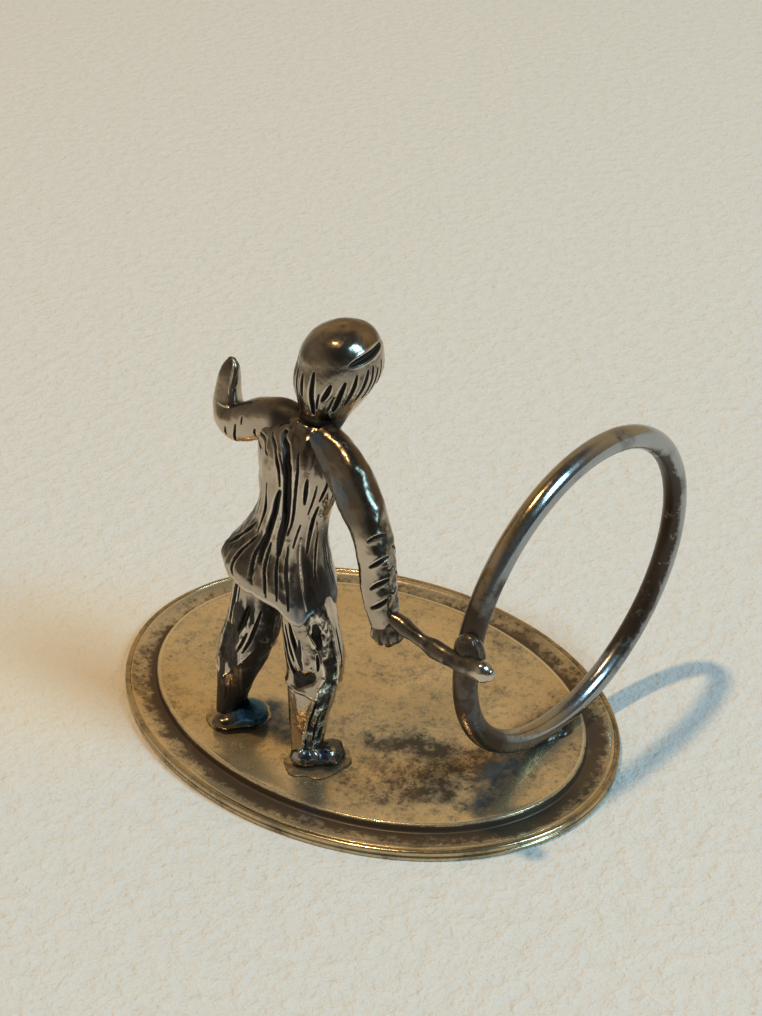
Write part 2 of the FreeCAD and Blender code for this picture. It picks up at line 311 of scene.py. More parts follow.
# The blue streaks: painted shadow of the hoop's near limb, painted reflection before the right shoe, a blue
# patch by the left shoe.
plate_blue_and_painted_light = old_plate.mark("blue_tint_and_painted_light") * (0.65 + soft.ease(0.3, 0.7) * 0.45)
coloured = plate_blue_and_painted_light.mix(coloured, (0.028, 0.058, 0.088))
roughness = fine.ease(0.3, 0.8, 0.16, 0.26) + dirt_and_painted_shade * 0.16 - bright_edge * 0.06
scratch = old_plate.swirl(0.16, 5.0, 0.7, stretch=(1.0, 0.25, 1.0), turn=24.0)
plate_silver = old_plate.finish(
    coloured, roughness, 0.80 - dirt_and_painted_shade * 0.45, fine * 0.6 + scratch * 0.4 + soft * 0.8, 0.22, 0.03)
base_plate.data.materials.append(plate_silver)
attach(base_plate, "root")
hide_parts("base_plate")

# ------------------------------------------------------------------ the rim wire
# Drawn wire with a beaded edge, bent round the foot and soldered to it.  Two soft
# ridges with a fine line between them.


def grown(name, build, sizes, finish):
    """Grows a piece with a geometry tree and hands back its plain mesh."""
    tree = bpy.data.node_groups.new(name + " tree", "GeometryNodeTree")
    taps = {}
    for label in sizes:
        tree.interface.new_socket(label, in_out="INPUT", socket_type="NodeSocketFloat")
    tree.interface.new_socket("Geometry", in_out="OUTPUT", socket_type="NodeSocketGeometry")
    inlet = tree.nodes.new("NodeGroupInput")
    for label in sizes:
        taps[label] = Tap(tree, inlet.outputs[label])
    shape = build(tree, taps)
    shape = Tap.node(tree, "GeometryNodeRealizeInstances", None, {"Geometry": shape})
    shape = Tap.node(tree, "GeometryNodeSetMaterial", None, {"Geometry": shape, "Material": finish})
    outlet = tree.nodes.new("NodeGroupOutput")
    tree.links.new(shape.socket, outlet.inputs[0])
    holder = bpy.data.objects.new(name + " holder", bpy.data.meshes.new(name + " holder"))
    bpy.context.scene.collection.objects.link(holder)
    modifier = holder.modifiers.new(name, "NODES")
    modifier.node_group = tree
    for item in tree.interface.items_tree:
        if item.in_out == "INPUT" and item.name in sizes:
            modifier[item.identifier] = float(sizes[item.name])
    graph = bpy.context.evaluated_depsgraph_get()
    mesh = bpy.data.meshes.new_from_object(holder.evaluated_get(graph), depsgraph=graph)
    holder.modifiers.clear()
    bpy.data.objects.remove(holder)
    mesh.name = name
    mesh.polygons.foreach_set("use_smooth", np.ones(len(mesh.polygons), bool))
    piece = bpy.data.objects.new(name, mesh)
    bpy.context.scene.collection.objects.link(piece)
    return piece


def unrolled_grid(tree, around, across):
    """A grid whose x and y run 0 to 1, ready to be rolled into a ring."""
    grid = Tap.node(tree, "GeometryNodeMeshGrid", None, {
        "Size X": 1.0, "Size Y": 1.0, "Vertices X": around, "Vertices Y": across})
    here = Tap.node(tree, "GeometryNodeInputPosition")
    apart = tree.nodes.new("ShaderNodeSeparateXYZ")
    tree.links.new((here + (0.5, 0.5, 0.0)).socket, apart.inputs[0])
    return grid, Tap(tree, apart.outputs[0]), Tap(tree, apart.outputs[1])


def placed(tree, grid, x, y, z):
    spot = Tap.node(tree, "ShaderNodeCombineXYZ", None, {"X": x, "Y": y, "Z": z})
    moved = Tap.node(tree, "GeometryNodeSetPosition", None, {"Geometry": grid, "Position": spot})
    return Tap.node(tree, "GeometryNodeMergeByDistance", None, {"Geometry": moved, "Distance": 1e-7})


def drawn_noise(tree, where, size, amount):
    """Uneven drawing of the wire, plus or minus the given amount."""
    noise = Tap.node(tree, "ShaderNodeTexNoise", None, {"Vector": where, "Scale": 1.0 / size, "Detail": 2.0})
    return (noise - 0.5) * (2.0 * amount)


def shaped(tree, value, stops):
    """Value passed through a curve drawn through the given stops."""
    curve = Tap.node(tree, "ShaderNodeFloatCurve", None, {"Value": value})
    line = curve.socket.node.mapping.curves[0]
    line.points[0].location = stops[0]
    line.points[1].location = stops[-1]
    for stop in stops[1:-1]:
        line.points.new(*stop)
    return curve


def rim_tree(tree, size):
    grid, along, round_wire = unrolled_grid(tree, 1201, 57)
    turn = along * (2.0 * math.pi)
    face = shaped(tree, round_wire, (
        (0.00, 0.10), (0.06, 0.74), (0.12, 0.93), (0.22, 1.00), (0.30, 0.95), (0.35, 0.74),
        (0.40, 0.80), (0.46, 0.97), (0.56, 1.00), (0.66, 0.88), (0.76, 0.52), (0.84, 0.20), (1.00, 0.10)))
    rise = shaped(tree, round_wire, (
        (0.00, 0.00), (0.06, 0.00), (0.12, 0.05), (0.22, 0.22), (0.30, 0.37), (0.35, 0.43),
        (0.40, 0.49), (0.46, 0.60), (0.56, 0.80), (0.66, 0.94), (0.76, 1.00), (0.84, 0.96), (1.00, 0.00)))
    compass = Tap.node(tree, "ShaderNodeCombineXYZ", None, {
        "X": turn.sum("COSINE") * size["Long half"], "Y": turn.sum("SINE") * size["Short half"],
        "Z": rise * size["Height"]})
    nick = drawn_noise(tree, compass, 0.0012, 0.000012) + drawn_noise(tree, compass, 0.006, 0.00002)
    inset = (1.0 - face) * size["Width"] + nick.sum("ABSOLUTE")
    z = rise * (size["Height"] - nick.sum("ABSOLUTE"))
    x = turn.sum("COSINE") * (size["Long half"] - inset)
    y = turn.sum("SINE") * (size["Short half"] - inset)
    return placed(tree, grid, x, y, z)


wire_wear = Finish("rubbed rim silver")
fine = wire_wear.swirl(0.3, 5.0, 0.7)
cloud = wire_wear.swirl(3.0, 3.0, 0.6)
dirt_and_painted_shade = (cloud.ease(0.36, 0.70) * 0.7 + fine.ease(0.45, 0.7) * 0.4).ease(0.0, 1.0)
rim_silver = wire_wear.finish(
    dirt_and_painted_shade.mix((0.56, 0.45, 0.27), (0.15, 0.11, 0.068)), fine.ease(0.3, 0.8, 0.13, 0.28),
    1.0 - dirt_and_painted_shade * 0.3, fine + cloud * 0.4, 0.2, 0.02)
rim_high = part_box("rim_wire")[1]
rim = grown("rim_wire_worked", rim_tree, {
    "Long half": foot_long * MM, "Short half": foot_short * MM,
    "Width": 0.5 * MM, "Height": rim_high.z}, rim_silver)
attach(rim, "root")
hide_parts("rim_wire")

# ------------------------------------------------------------------ the hoop
# A closed ring of round drawn wire stood on its edge, filed flat where it meets
# the foot.  Polished on the outside, pitted and dark in places inside; the limb
# nearer the stick is darker, with a painted gold glint of the warm lamp on its lamp side.
hoop_low, hoop_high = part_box("hoop")
wire = 1.70 * MM / 2.0
ring = 11.59 * MM
hoop_swing = math.radians(-4.1)
hoop_lean = math.radians(-5.0)
hoop_face = Vector((math.cos(hoop_swing) * math.cos(hoop_lean),
                    math.sin(hoop_swing) * math.cos(hoop_lean),
                    math.sin(hoop_lean)))
hoop_middle = (hoop_low + hoop_high) * 0.5
hoop_side = Vector((0.0, 0.0, 1.0)).cross(hoop_face).normalized()
hoop_up = hoop_face.cross(hoop_side)


def hoop_tree(tree, size):
    grid, along, round_wire = unrolled_grid(tree, 721, 49)
    turn = along * (2.0 * math.pi)
    belly = round_wire * (2.0 * math.pi)
    guide = Tap.node(tree, "ShaderNodeCombineXYZ", None, {
        "X": turn.sum("COSINE") * size["Ring"], "Y": turn.sum("SINE") * size["Ring"],
        "Z": belly.sum("SINE") * size["Wire"]})
    uneven = drawn_noise(tree, guide, 0.009, 0.022) + drawn_noise(tree, guide, 0.0016, 0.010)
    thick = size["Wire"] * (0.985 + uneven)
    out = size["Ring"] + belly.sum("COSINE") * thick
    flat = (turn.sum("SINE") * out).sum("MAXIMUM", (size["Ring"] + size["Wire"] - size["Seat"]) * -1.0)
    spots = [turn.sum("COSINE") * out, flat, belly.sum("SINE") * thick]
    lines = []
    for axis in range(3):
        lines.append(spots[0] * hoop_side[axis] + spots[1] * hoop_up[axis]
                     + spots[2] * hoop_face[axis] + hoop_middle[axis])
    return placed(tree, grid, *lines)


ring_wear = Finish("polished wire silver")
fine = ring_wear.swirl(0.35, 5.0, 0.7)
cloud = ring_wear.swirl(3.2, 4.0, 0.65)
pits = ring_wear.swirl(0.9, 4.0, 0.8)
near = ring_wear.place - tuple(hoop_middle)
out_far = near.sum("LENGTH")
inner = out_far.ease(ring - 0.10 * MM, ring - 0.62 * MM)
sideways = near.sum("DOT_PRODUCT", tuple(hoop_side))
far_limb = sideways.ease(0.35 * ring, 0.80 * ring)
above_middle = near.sum("DOT_PRODUCT", tuple(hoop_up))
near_limb = sideways.ease(-0.30 * ring, -0.75 * ring) * above_middle.ease(0.90 * ring, 0.30 * ring)
caked = inner * far_limb * (0.45 + pits.ease(0.35, 0.55) * 0.9)
dirt_and_painted_shade = (cloud.ease(0.42, 0.74) * 0.60 + pits.ease(0.60, 0.74) * cloud.ease(0.40, 0.6) * 0.8 + caked
        + near_limb * (0.58 + cloud.ease(0.28, 0.74) * 0.45)).ease(0.0, 0.9)
# Painted glint: the near limb's side towards the warm lamp is tinted gold.
painted_lamp_glint = (near.sum("DOT_PRODUCT", tuple(hoop_face)).ease(0.70 * MM, 0.05 * MM)
          * sideways.ease(0.0, -0.55 * ring) * (0.5 + cloud.ease(0.35, 0.6) * 0.5))
# The hoop's silver, gold where the painted lamp glint lies.
clean = painted_lamp_glint.mix((0.365, 0.38, 0.39), (0.46, 0.31, 0.125))
hoop_silver = ring_wear.finish(
    dirt_and_painted_shade.mix(clean, (0.055, 0.038, 0.026)), fine.ease(0.3, 0.8, 0.13, 0.24) + dirt_and_painted_shade * 0.16,
    1.0 - dirt_and_painted_shade * 0.3, fine * 0.5 + cloud + pits * 0.4, 0.16, 0.03)
hoop = grown("hoop_worked", hoop_tree, {"Ring": ring, "Wire": wire, "Seat": 0.05 * MM}, hoop_silver)
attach(hoop, "root")
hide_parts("hoop")

# ------------------------------------------------------------------ the jacket
# The child's body down to the flared skirt of the jacket: one solid casting.
# Folds are gouged in by hand from neck to hem and left black; the ridges between
# them are rubbed bright.  Soldered to the legs under the hem.


def eased_rows(sections, rows):
    """Section sizes eased through the given stops, evenly spaced along the piece."""
    stops = np.array([list(row) + [0.0] * (6 - len(row)) for row in sections], float)
    wide = np.vstack([2 * stops[0] - stops[1], stops, 2 * stops[-1] - stops[-2]])
    t = np.linspace(0.0, len(stops) - 1.0, 40 * (len(stops) - 1) + 1)
    k = np.minimum(t.astype(int), len(stops) - 2)
    f = (t - k)[:, None]
    a, b, c, d = (wide[k + i] for i in range(4))
    line = 0.5 * (2 * b + (c - a) * f + (2 * a - 5 * b + 4 * c - d) * f ** 2
                  + (3 * b - a - 3 * c + d) * f ** 3)
    run = np.concatenate([[0.0], np.cumsum(np.linalg.norm(np.diff(line[:, :3], axis=0), axis=1))])
    at = np.linspace(0.0, run[-1], rows)
    return np.stack([np.interp(at, run, line[:, i]) for i in range(6)], axis=1), at


def cast_form(sections, rows, around, level=True, square=0.0):
    """Rings of a limb or body in mm, with the distance along it and the turn round it."""
    line, along = eased_rows(sections, rows)
    turn = np.linspace(0.0, 2.0 * math.pi, around, endpoint=False)
    if level:
        drop = np.radians(line[:, 5])
        across = np.stack([np.cos(drop), np.zeros(rows), -np.sin(drop)], axis=1)
        deep = np.tile([0.0, 1.0, 0.0], (rows, 1))
    else:
        way = np.gradient(line[:, :3], axis=0)
        evened = [np.convolve(np.pad(way[:, i], 6, "edge"), np.ones(13) / 13, "valid") for i in range(3)]
        way = np.stack(evened, axis=1)
        way /= np.linalg.norm(way, axis=1)[:, None]
        deep = np.array([0.0, 1.0, 0.0]) - way * way[:, 1:2]
        deep /= np.linalg.norm(deep, axis=1)[:, None]
        across = np.cross(deep, way)
    c = np.sign(np.cos(turn)) * np.abs(np.cos(turn)) ** (1.0 - square)
    s = np.sign(np.sin(turn)) * np.abs(np.sin(turn)) ** (1.0 - square)
    rings = (line[:, None, :3] + line[:, None, 3:4] * c[None, :, None] * across[:, None]
             + line[:, None, 4:5] * s[None, :, None] * deep[:, None])
    return rings, along[:, None] + 0 * turn[None], np.degrees(turn)[None] + 0 * along[:, None]


def outward(rings):
    """Unit directions square to the skin."""
    along = np.gradient(rings, axis=0)
    out = np.cross(np.roll(rings, -1, 1) - np.roll(rings, 1, 1), along)
    return out / np.maximum(np.linalg.norm(out, axis=2), 1e-9)[..., None]


def on_skin(rings, measure, turn, level):
    """The point of the skin at a turn in degrees and a height or distance along."""
    around = rings.shape[1]
    column = (turn % 360.0) / 360.0 * around
    left = int(column) % around
    spots = []
    for c in (left, (left + 1) % around):
        spots.append([np.interp(level, measure[:, c], rings[:, c, axis]) for axis in range(3)])
    f = column - int(column)
    return np.array(spots[0]) * (1.0 - f) + np.array(spots[1]) * f


def gouged(rings, measure, strokes):
    """Cuts tapering grooves with a slight burr.  Each stroke is half width, depth, then stops.

    A negative depth leaves a raised ridge instead.  Hands back the skin, how black
    the groove is and how much each edge is rubbed."""
    out = outward(rings)
    sunk = np.zeros(rings.shape[:2])
    black = np.zeros(rings.shape[:2])
    rubbed = np.zeros(rings.shape[:2])
    flat = rings.reshape(-1, 3)
    for half, depth, *stops in strokes:
        stops = np.array(stops, float)
        count = 26 * (len(stops) - 1) + 1
        t = np.linspace(0, len(stops) - 1, count)
        turns = np.interp(t, range(len(stops)), stops[:, 0])
        levels = np.interp(t, range(len(stops)), stops[:, 1])
        if len(stops) > 2:
            turns, levels = (np.convolve(np.pad(v, 8, "edge"), np.ones(17) / 17, "valid")
                             for v in (turns, levels))
        line = np.array([on_skin(rings, measure, a, b) for a, b in zip(turns, levels)])
        taper = 0.30 + 0.70 * np.sin(np.linspace(0.04, 0.96, count) * math.pi) ** 0.6
        near = np.all((flat > line.min(0) - half * 3 - 0.1) & (flat < line.max(0) + half * 3 + 0.1), axis=1)
        spot = np.flatnonzero(near)
        gap = np.linalg.norm(flat[spot][:, None] - line[None], axis=2)
        nearest = gap.argmin(axis=1)
        share = gap[np.arange(len(spot)), nearest] / (half * taper[nearest])
        groove = ramp(1.0 - share, 0.0, 0.85)
        burr = np.exp(-((share - 1.30) / 0.34) ** 2) * taper[nearest]
        if depth > 0.0:
            sunk.flat[spot] = np.maximum(sunk.flat[spot], groove * depth * taper[nearest])
            black.flat[spot] = np.maximum(black.flat[spot], ramp(1.0 - share, -0.12, 0.28))
            rubbed.flat[spot] = np.maximum(rubbed.flat[spot], burr)
        else:
            sunk.flat[spot] = np.minimum(sunk.flat[spot], groove * depth * taper[nearest])
            rubbed.flat[spot] = np.maximum(rubbed.flat[spot], groove)
    rubbed = rubbed * (1.0 - black)
    return rings - out * (sunk - rubbed * (sunk >= 0.0) * 0.022)[..., None], black, rubbed


def tooled(rings, seed, swell=0.03, chatter=0.008, size=1.3):
    """The unevenness a wax model leaves in the casting."""
    rise = layered(rings, size, seed, 2) * swell + layered(rings, 0.28, seed + 5, 2) * chatter
    return rings + outward(rings) * rise[..., None]


def pulled(rings, seed, rise=0.05, wide=0.55, reach=0.2):
    """Fine drapery: long shallow flutes drawn down the piece."""
    return rings + outward(rings) * (layered(rings * [1.0, 1.0, reach], wide, seed, 2) * rise)[..., None]


def end_caps(rings, marks, first=0.3, last=0.3, steps=9):
    """Rounds both ends over, bulging by the given lengths in mm."""
    def cap(ring, way, bulge):
        middle = ring.mean(axis=0)
        angles = np.linspace(0.06, 1.0, steps, endpoint=False) * math.pi / 2.0
        return [middle + (ring - middle) * math.sin(a) + way * bulge * math.cos(a) for a in angles]
    start_way = rings[0].mean(axis=0) - rings[3].mean(axis=0)
    start_way /= np.linalg.norm(start_way)
    end_way = rings[-1].mean(axis=0) - rings[-4].mean(axis=0)
    end_way /= np.linalg.norm(end_way)
    whole = np.array(cap(rings[0], start_way, first) + list(rings) + cap(rings[-1], end_way, last)[::-1])
    padded = {name: np.vstack([np.repeat(v[:1], steps, 0), v, np.repeat(v[-1:], steps, 0)])
              for name, v in marks.items()}
    return whole, padded


def cast_piece(node, rings, black, rubbed, first=0.3, last=0.3, finish=None,
               shade=0.0, blue_tint_and_painted_light=0.0):
    """Finished casting that takes the place of a CAD node.  Faces that look up are darkened
    as painted shade, hollows that no thumb reaches keep a dark skin, the given shade darkens
    further and the given blue paints blue light on; crests are rubbed clean."""
    ridge = blurred(np.linalg.norm(rings - rings.mean(axis=1, keepdims=True), axis=2), 1)
    crest = ramp(ridge - blurred(ridge, 9), 0.006, 0.05)
    rows = np.arange(len(rings))[:, None]
    inside = ramp(np.minimum(rows, len(rings) - 1 - rows), 3, 22)
    clean = np.maximum(rubbed, crest * inside) * (1.0 - black)
    facing_up = ramp(blurred(outward(rings)[..., 2], 3), 0.05, 0.62)
    hollow = ramp(blurred(ridge, 16) - ridge, 0.008, 0.07) * inside
    # Painted shade on faces that look up, and the shade given; tarnish in the hollows.
    dull_and_painted_shade = np.clip(facing_up * 0.85 + hollow * 0.60 + shade, 0.0, 1.0) * (1.0 - clean * 0.45)
    heat_and_painted_light = np.clip(blue_tint_and_painted_light + np.zeros(black.shape), 0.0, 1.0)
    whole, marks = end_caps(rings, {"recess_and_painted_shade": black, "worn": clean, "dull_and_painted_shade": dull_and_painted_shade, "blue_tint_and_painted_light": heat_and_painted_light}, first, last)
    piece = round_skin(node + "_worked", whole, marks)
    piece.data.materials.append(finish or cast_silver)
    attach(piece, "root")
    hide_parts(node)
    return piece


cast = Finish("oxidised cast silver")
fine = cast.swirl(0.22, 5.0, 0.7)
cloud = cast.swirl(1.9, 4.0, 0.6, warp=0.4)
dark_patches = cast.swirl(3.6, 3.0, 0.6)
# Black of the grooves, together with shade painted black on the jacket, the neck and the legs.
groove = cast.mark("recess_and_painted_shade")
rubbed = cast.mark("worn")
dull_and_painted_shade = (cast.mark("dull_and_painted_shade") * (0.80 + cloud.ease(0.35, 0.70) * 0.45)).ease(0.05, 0.95)
black = (groove * 1.20 + cloud.ease(0.55, 0.85) * 0.30 + fine.ease(0.58, 0.80) * 0.16
         - rubbed * 0.25).ease(0.05, 0.80)
silver = dark_patches.ease(0.35, 0.65).mix((0.57, 0.485, 0.385), (0.46, 0.385, 0.30))
silver = dull_and_painted_shade.mix(silver, (0.130, 0.108, 0.082))
silver = (rubbed.ease(0.25, 1.0) * (1.0 - dull_and_painted_shade * 0.5)).mix(silver, (0.75, 0.67, 0.56))
# Painted blue reflection of the cool window, where it is marked.
silver = cast.mark("blue_tint_and_painted_light").mix(silver, (0.050, 0.135, 0.245))
cast_silver = cast.finish(
    black.mix(silver, (0.018, 0.013, 0.010)),
    fine.ease(0.3, 0.8, 0.12, 0.20) + dull_and_painted_shade * 0.08 + black * 0.28, 1.0 - black * 0.60,
    fine * 0.35 + cloud * 0.5, 0.20, 0.03)

jacket_sections = [
    (-1.60, -6.90, 14.10, 4.05, 3.05, 15.0), (-1.70, -6.85, 15.30, 4.20, 3.10, 14.0),
    (-1.55, -6.60, 16.90, 3.50, 2.70, 12.0), (-1.05, -6.30, 18.90, 2.80, 2.25, 10.0),
    (-0.80, -5.95, 20.60, 2.60, 2.05, 8.0), (-0.85, -5.60, 22.30, 2.80, 2.05, 7.0),
    (-0.75, -5.20, 24.00, 3.15, 2.10, 6.0), (-0.55, -4.70, 25.50, 3.05, 1.85, 6.0),
    (-0.20, -4.10, 26.60, 1.60, 1.30, 4.0)]
skin, along, turn = cast_form(jacket_sections, 214, 360)
boxy = cast_form(jacket_sections, 214, 360, square=0.20)[0]
low = 1.0 - ramp(skin[..., 2], 15.0, 19.5)[..., None]
skin = skin * (1.0 - low) + boxy * low
hem_turns = (0, 26, 60, 100, 150, 190, 222, 250, 273, 295, 308, 325, 338, 357, 360)
hem_levels = (13.7, 13.0, 13.4, 14.6, 15.2, 15.4, 15.5, 15.4, 14.9, 14.6, 13.6, 12.9, 14.0, 13.8, 13.7)
hem = np.interp(turn[0], hem_turns, hem_levels)
hem = np.convolve(np.concatenate([hem[-6:], hem, hem[:6]]), np.ones(13) / 13, "valid")
start = skin[0, :, 2].copy()
stretch = np.clip((19.0 - skin[..., 2]) / (19.0 - start)[None], 0.0, 1.0)
skin[..., 2] += stretch * (hem - start)[None]
# Each fold: half width, depth, then stops of turn in degrees and height.
folds = [
    (0.15, 0.20, (198, 25.4), (204, 24.8), (224, 24.3)), (0.14, 0.18, (200, 25.3), (230, 25.1), (247, 24.4)),
    (0.16, 0.20, (236, 25.8), (257, 25.0), (270, 23.9), (275, 22.7)),
    (0.34, 0.36, (251, 26.1), (272, 25.2), (283, 23.7), (288, 22.0), (288, 20.9), (289, 19.6), (291, 18.0)),
    (0.14, 0.17, (287, 25.3), (294, 24.2), (296, 23.3), (298, 22.1), (299, 20.6), (297, 19.5)),
    (0.17, 0.20, (308, 23.7), (309, 22.9), (311, 21.8)), (0.09, 0.10, (322, 23.3), (321, 22.0), (319, 21.0)),
    (0.12, 0.15, (338, 23.6), (334, 22.8), (330, 22.0)),
    (0.14, 0.16, (251, 22.7), (248, 21.3), (247, 19.9), (247, 18.9)),
    (0.30, 0.32, (276, 22.5), (270, 21.2), (266, 19.9), (268, 18.7), (273, 17.2)),
    (0.15, 0.18, (332, 21.7), (330, 20.6), (332, 19.1), (332, 18.1)),
    (0.16, 0.18, (289, 21.6), (285, 20.5), (285, 19.3), (288, 18.4)),
    (0.17, 0.20, (236, 19.6), (226, 18.2), (216, 17.2)), (0.13, 0.16, (196, 16.9), (206, 16.4), (219, 16.0)),
    (0.16, 0.20, (251, 18.9), (247, 17.6), (249, 16.6), (252, 15.8)),
    (0.16, 0.20, (262, 19.2), (265, 17.8), (269, 16.8), (271, 15.8)),
    (0.15, 0.20, (276, 18.9), (279, 17.3), (283, 16.2), (285, 15.2)),
    (0.13, 0.18, (290, 18.3), (294, 17.0), (296, 16.2), (297, 15.1)),
    (0.14, 0.18, (302, 18.9), (305, 17.2), (309, 15.9), (310, 14.4)),
    (0.10, 0.13, (312, 20.4), (310, 19.4), (309, 18.6)), (0.09, 0.12, (263, 25.0), (276, 24.0), (281, 23.1)),
    (0.16, -0.16, (318, 19.4), (321, 18.0), (330, 15.9), (333, 14.2)),
    (0.10, 0.12, (344, 19.8), (350, 17.6), (352, 15.6)), (0.09, 0.11, (7, 19.0), (12, 16.8), (14, 15.0)),
    (0.12, 0.15, (24, 20.6), (30, 18.0), (33, 15.2)), (0.10, 0.13, (352, 23.8), (354, 22.6), (353, 21.4)),
    (0.22, 0.22, (90, 25.3), (90, 22.0), (89, 18.0), (88, 15.6)),
    (0.12, 0.15, (74, 24.9), (70, 22.6), (68, 20.8)), (0.12, 0.15, (108, 24.9), (112, 22.6), (113, 20.8)),
    (0.15, 0.18, (55, 19.8), (50, 17.4), (47, 15.0)), (0.15, 0.18, (72, 19.2), (70, 17.2), (68, 15.2)),
    (0.15, 0.18, (108, 19.4), (112, 17.4), (115, 15.8)), (0.15, 0.18, (128, 19.8), (134, 17.8), (138, 16.2)),
    (0.13, 0.16, (148, 20.4), (156, 18.2), (160, 16.6)), (0.12, 0.15, (170, 20.2), (176, 18.2), (180, 16.8)),
    (0.12, 0.15, (40, 23.4), (38, 22.0), (39, 20.8)), (0.12, 0.15, (138, 23.8), (141, 22.4), (140, 21.0)),
    (0.11, 0.14, (164, 24.0), (166, 22.6), (168, 21.2)), (0.12, 0.15, (188, 23.6), (190, 22.2), (188, 20.6)),
    (0.12, 0.15, (214, 22.8), (212, 21.2), (208, 19.8)), (0.09, 0.11, (232, 22.6), (230, 21.4), (227, 20.2))]
right_side = ramp(np.cos(np.radians(turn)), 0.25, 0.95) * np.exp(-((skin[..., 2] - 22.2) / 1.7) ** 2)
skin[..., 0] += right_side * 0.38
skin = pulled(tooled(skin, 31, 0.035), 33, 0.085)
skin, black, rubbed = gouged(skin, skin[..., 2].copy(), folds)
hem_edge = np.exp(-((skin[..., 2] - hem[None] - 0.22) / 0.16) ** 2)
rubbed = np.maximum(rubbed, hem_edge * 0.8 * (1.0 - black))
middle = np.array([-1.6, -6.9, 15.6])
under = []
for share, rise in ((0.05, 0.9), (0.30, 0.9), (0.55, 0.85), (0.75, 0.72), (0.86, 0.50), (0.93, 0.22),
                    (0.97, 0.04)):
    ring = middle + (skin[0] - middle) * np.array([share, share, 1.0])
    ring[:, 2] = skin[0, :, 2] * min(1.0, share + 0.3) + middle[2] * (1.0 - min(1.0, share + 0.3)) + rise
    under.append(ring)
skin = np.concatenate([under, skin])
black = np.concatenate([np.ones((len(under), 360)), black])
rubbed = np.concatenate([np.zeros((len(under), 360)), rubbed])
heights = skin[..., 2]
turns = np.vstack([turn[:1]] * len(heights))
# Painted shade: the skirt's panel on the right side is darkened and in part made black, with a painted blue
# reflection of the cool window at its foot.
panel = np.exp(-((turns - 352.0) / 36.0) ** 4) + np.exp(-((turns + 8.0) / 36.0) ** 4)
streaks = ramp(layered(skin * [1, 1, 0.25], 0.55, 37), -0.55, 0.35)
panel = panel * (1.0 - ramp(heights, 19.0, 21.5)) * (0.45 + 0.55 * streaks)
# The waist band gets painted shade together with tarnish.
waist_shade_and_tarnish = np.exp(-((heights - 18.0) / 1.5) ** 4) * np.exp(-((turns - 218.0) / 52.0) ** 4) * streaks
shade = panel * 1.2 + waist_shade_and_tarnish * 1.1 + np.exp(-((heights - 18.2) / 1.7) ** 2) * streaks * 0.5
shade_and_grime = np.maximum(panel * ramp(heights, 13.4, 14.6) * 0.72, waist_shade_and_tarnish * 0.62)
black = np.maximum(black, shade_and_grime * (1.0 - rubbed * 0.8))
cast_piece("jacket", skin, black, rubbed, 0.0, 0.0, shade=shade,
           blue_tint_and_painted_light=panel * (1.0 - ramp(heights, 14.6, 16.4)) * 0.7)

# ------------------------------------------------------------------ the head
# Cast in one piece with the cap and the bobbed hair, set into the collar.  The
# cap is polished smooth, the hair is scratched in with a graver and blackened, and
# the small face looks ahead with closed, calm lids.


def mound(u, v, at_u, at_v, size_u, size_v):
    return np.exp(-((u - at_u) / size_u) ** 2 - ((v - at_v) / size_v) ** 2)


head_sections = [
    (-0.10, -3.75, 26.10, 1.45, 1.28), (0.00, -3.30, 26.90, 1.66, 1.58), (0.20, -2.80, 27.90, 2.12, 2.30),
    (0.38, -2.50, 29.00, 2.50, 2.80), (0.60, -2.35, 30.10, 2.62, 2.92), (0.72, -2.25, 31.20, 2.44, 2.68),
    (0.80, -2.20, 32.08, 1.88, 2.06), (0.85, -2.20, 32.55, 1.12, 1.22), (0.85, -2.20, 32.70, 0.55, 0.60),
    (0.85, -2.20, 32.73, 0.14, 0.15)]
skin, along, turn = cast_form(head_sections, 226, 400)
z = skin[..., 2]
facing = np.array([math.cos(math.radians(84.0)), math.sin(math.radians(84.0)), 0.0])
aside = np.array([facing[1], -facing[0], 0.0])
u = (skin - np.array([0.45, -2.5, 0.0])) @ aside
front = ramp(((skin - skin.mean(axis=1, keepdims=True)) @ facing) / 2.6, 0.30, 0.62)
side = np.abs(u)
face = (mound(u, z, 0, 29.35, 0.27, 0.62) * 0.34 + mound(u, z, 0, 28.92, 0.33, 0.26) * 0.40
        + mound(side, z, 0.30, 28.80, 0.17, 0.15) * 0.16 - mound(side, z, 0.20, 28.66, 0.10, 0.07) * 0.12
        - mound(side, z, 0.96, 29.88, 0.60, 0.40) * 0.30 + mound(side, z, 0.98, 29.84, 0.40, 0.24) * 0.25
        + mound(side, z, 1.00, 30.36, 0.60, 0.14) * 0.16 + mound(side, z, 1.20, 28.85, 0.60, 0.50) * 0.16
        + mound(u, z, 0, 28.24, 0.50, 0.10) * 0.17 + mound(u, z, 0, 28.00, 0.40, 0.11) * 0.19
        - np.exp(-((z - 28.12) / 0.045) ** 2 - (u / 0.50) ** 4) * 0.10
        - mound(u, z, 0, 27.78, 0.42, 0.12) * 0.08 + mound(u, z, 0, 27.45, 0.85, 0.46) * 0.80
        + mound(u, z, 0, 31.0, 1.7, 0.5) * 0.08)
lid = np.exp(-((z - 29.74 - ((side - 0.98) / 0.62) ** 2 * 0.14) / 0.040) ** 2) * (np.abs(side - 0.98) < 0.44)
brow = mound(side, z, 1.02, 30.40, 0.56, 0.07)
skin = skin + facing * ((face - lid * 0.06) * front)[..., None]
hairline = 31.15 - np.maximum(side - 1.55, 0.0) * 3.2
hair = np.clip(1.0 - front * ramp(hairline - z, -0.10, 0.10), 0.0, 1.0)
cap_edge = 31.25 + 0.45 * np.cos(np.radians(turn - 30.0))
cap = ramp(z - cap_edge, -0.40, 0.40)
bob = np.exp(-((z - 29.2) / 1.3) ** 2) * (1.0 - cap)
lift = hair * (0.10 + 0.10 * bob) + cap * 0.09
skin = skin + outward(skin) * lift[..., None]
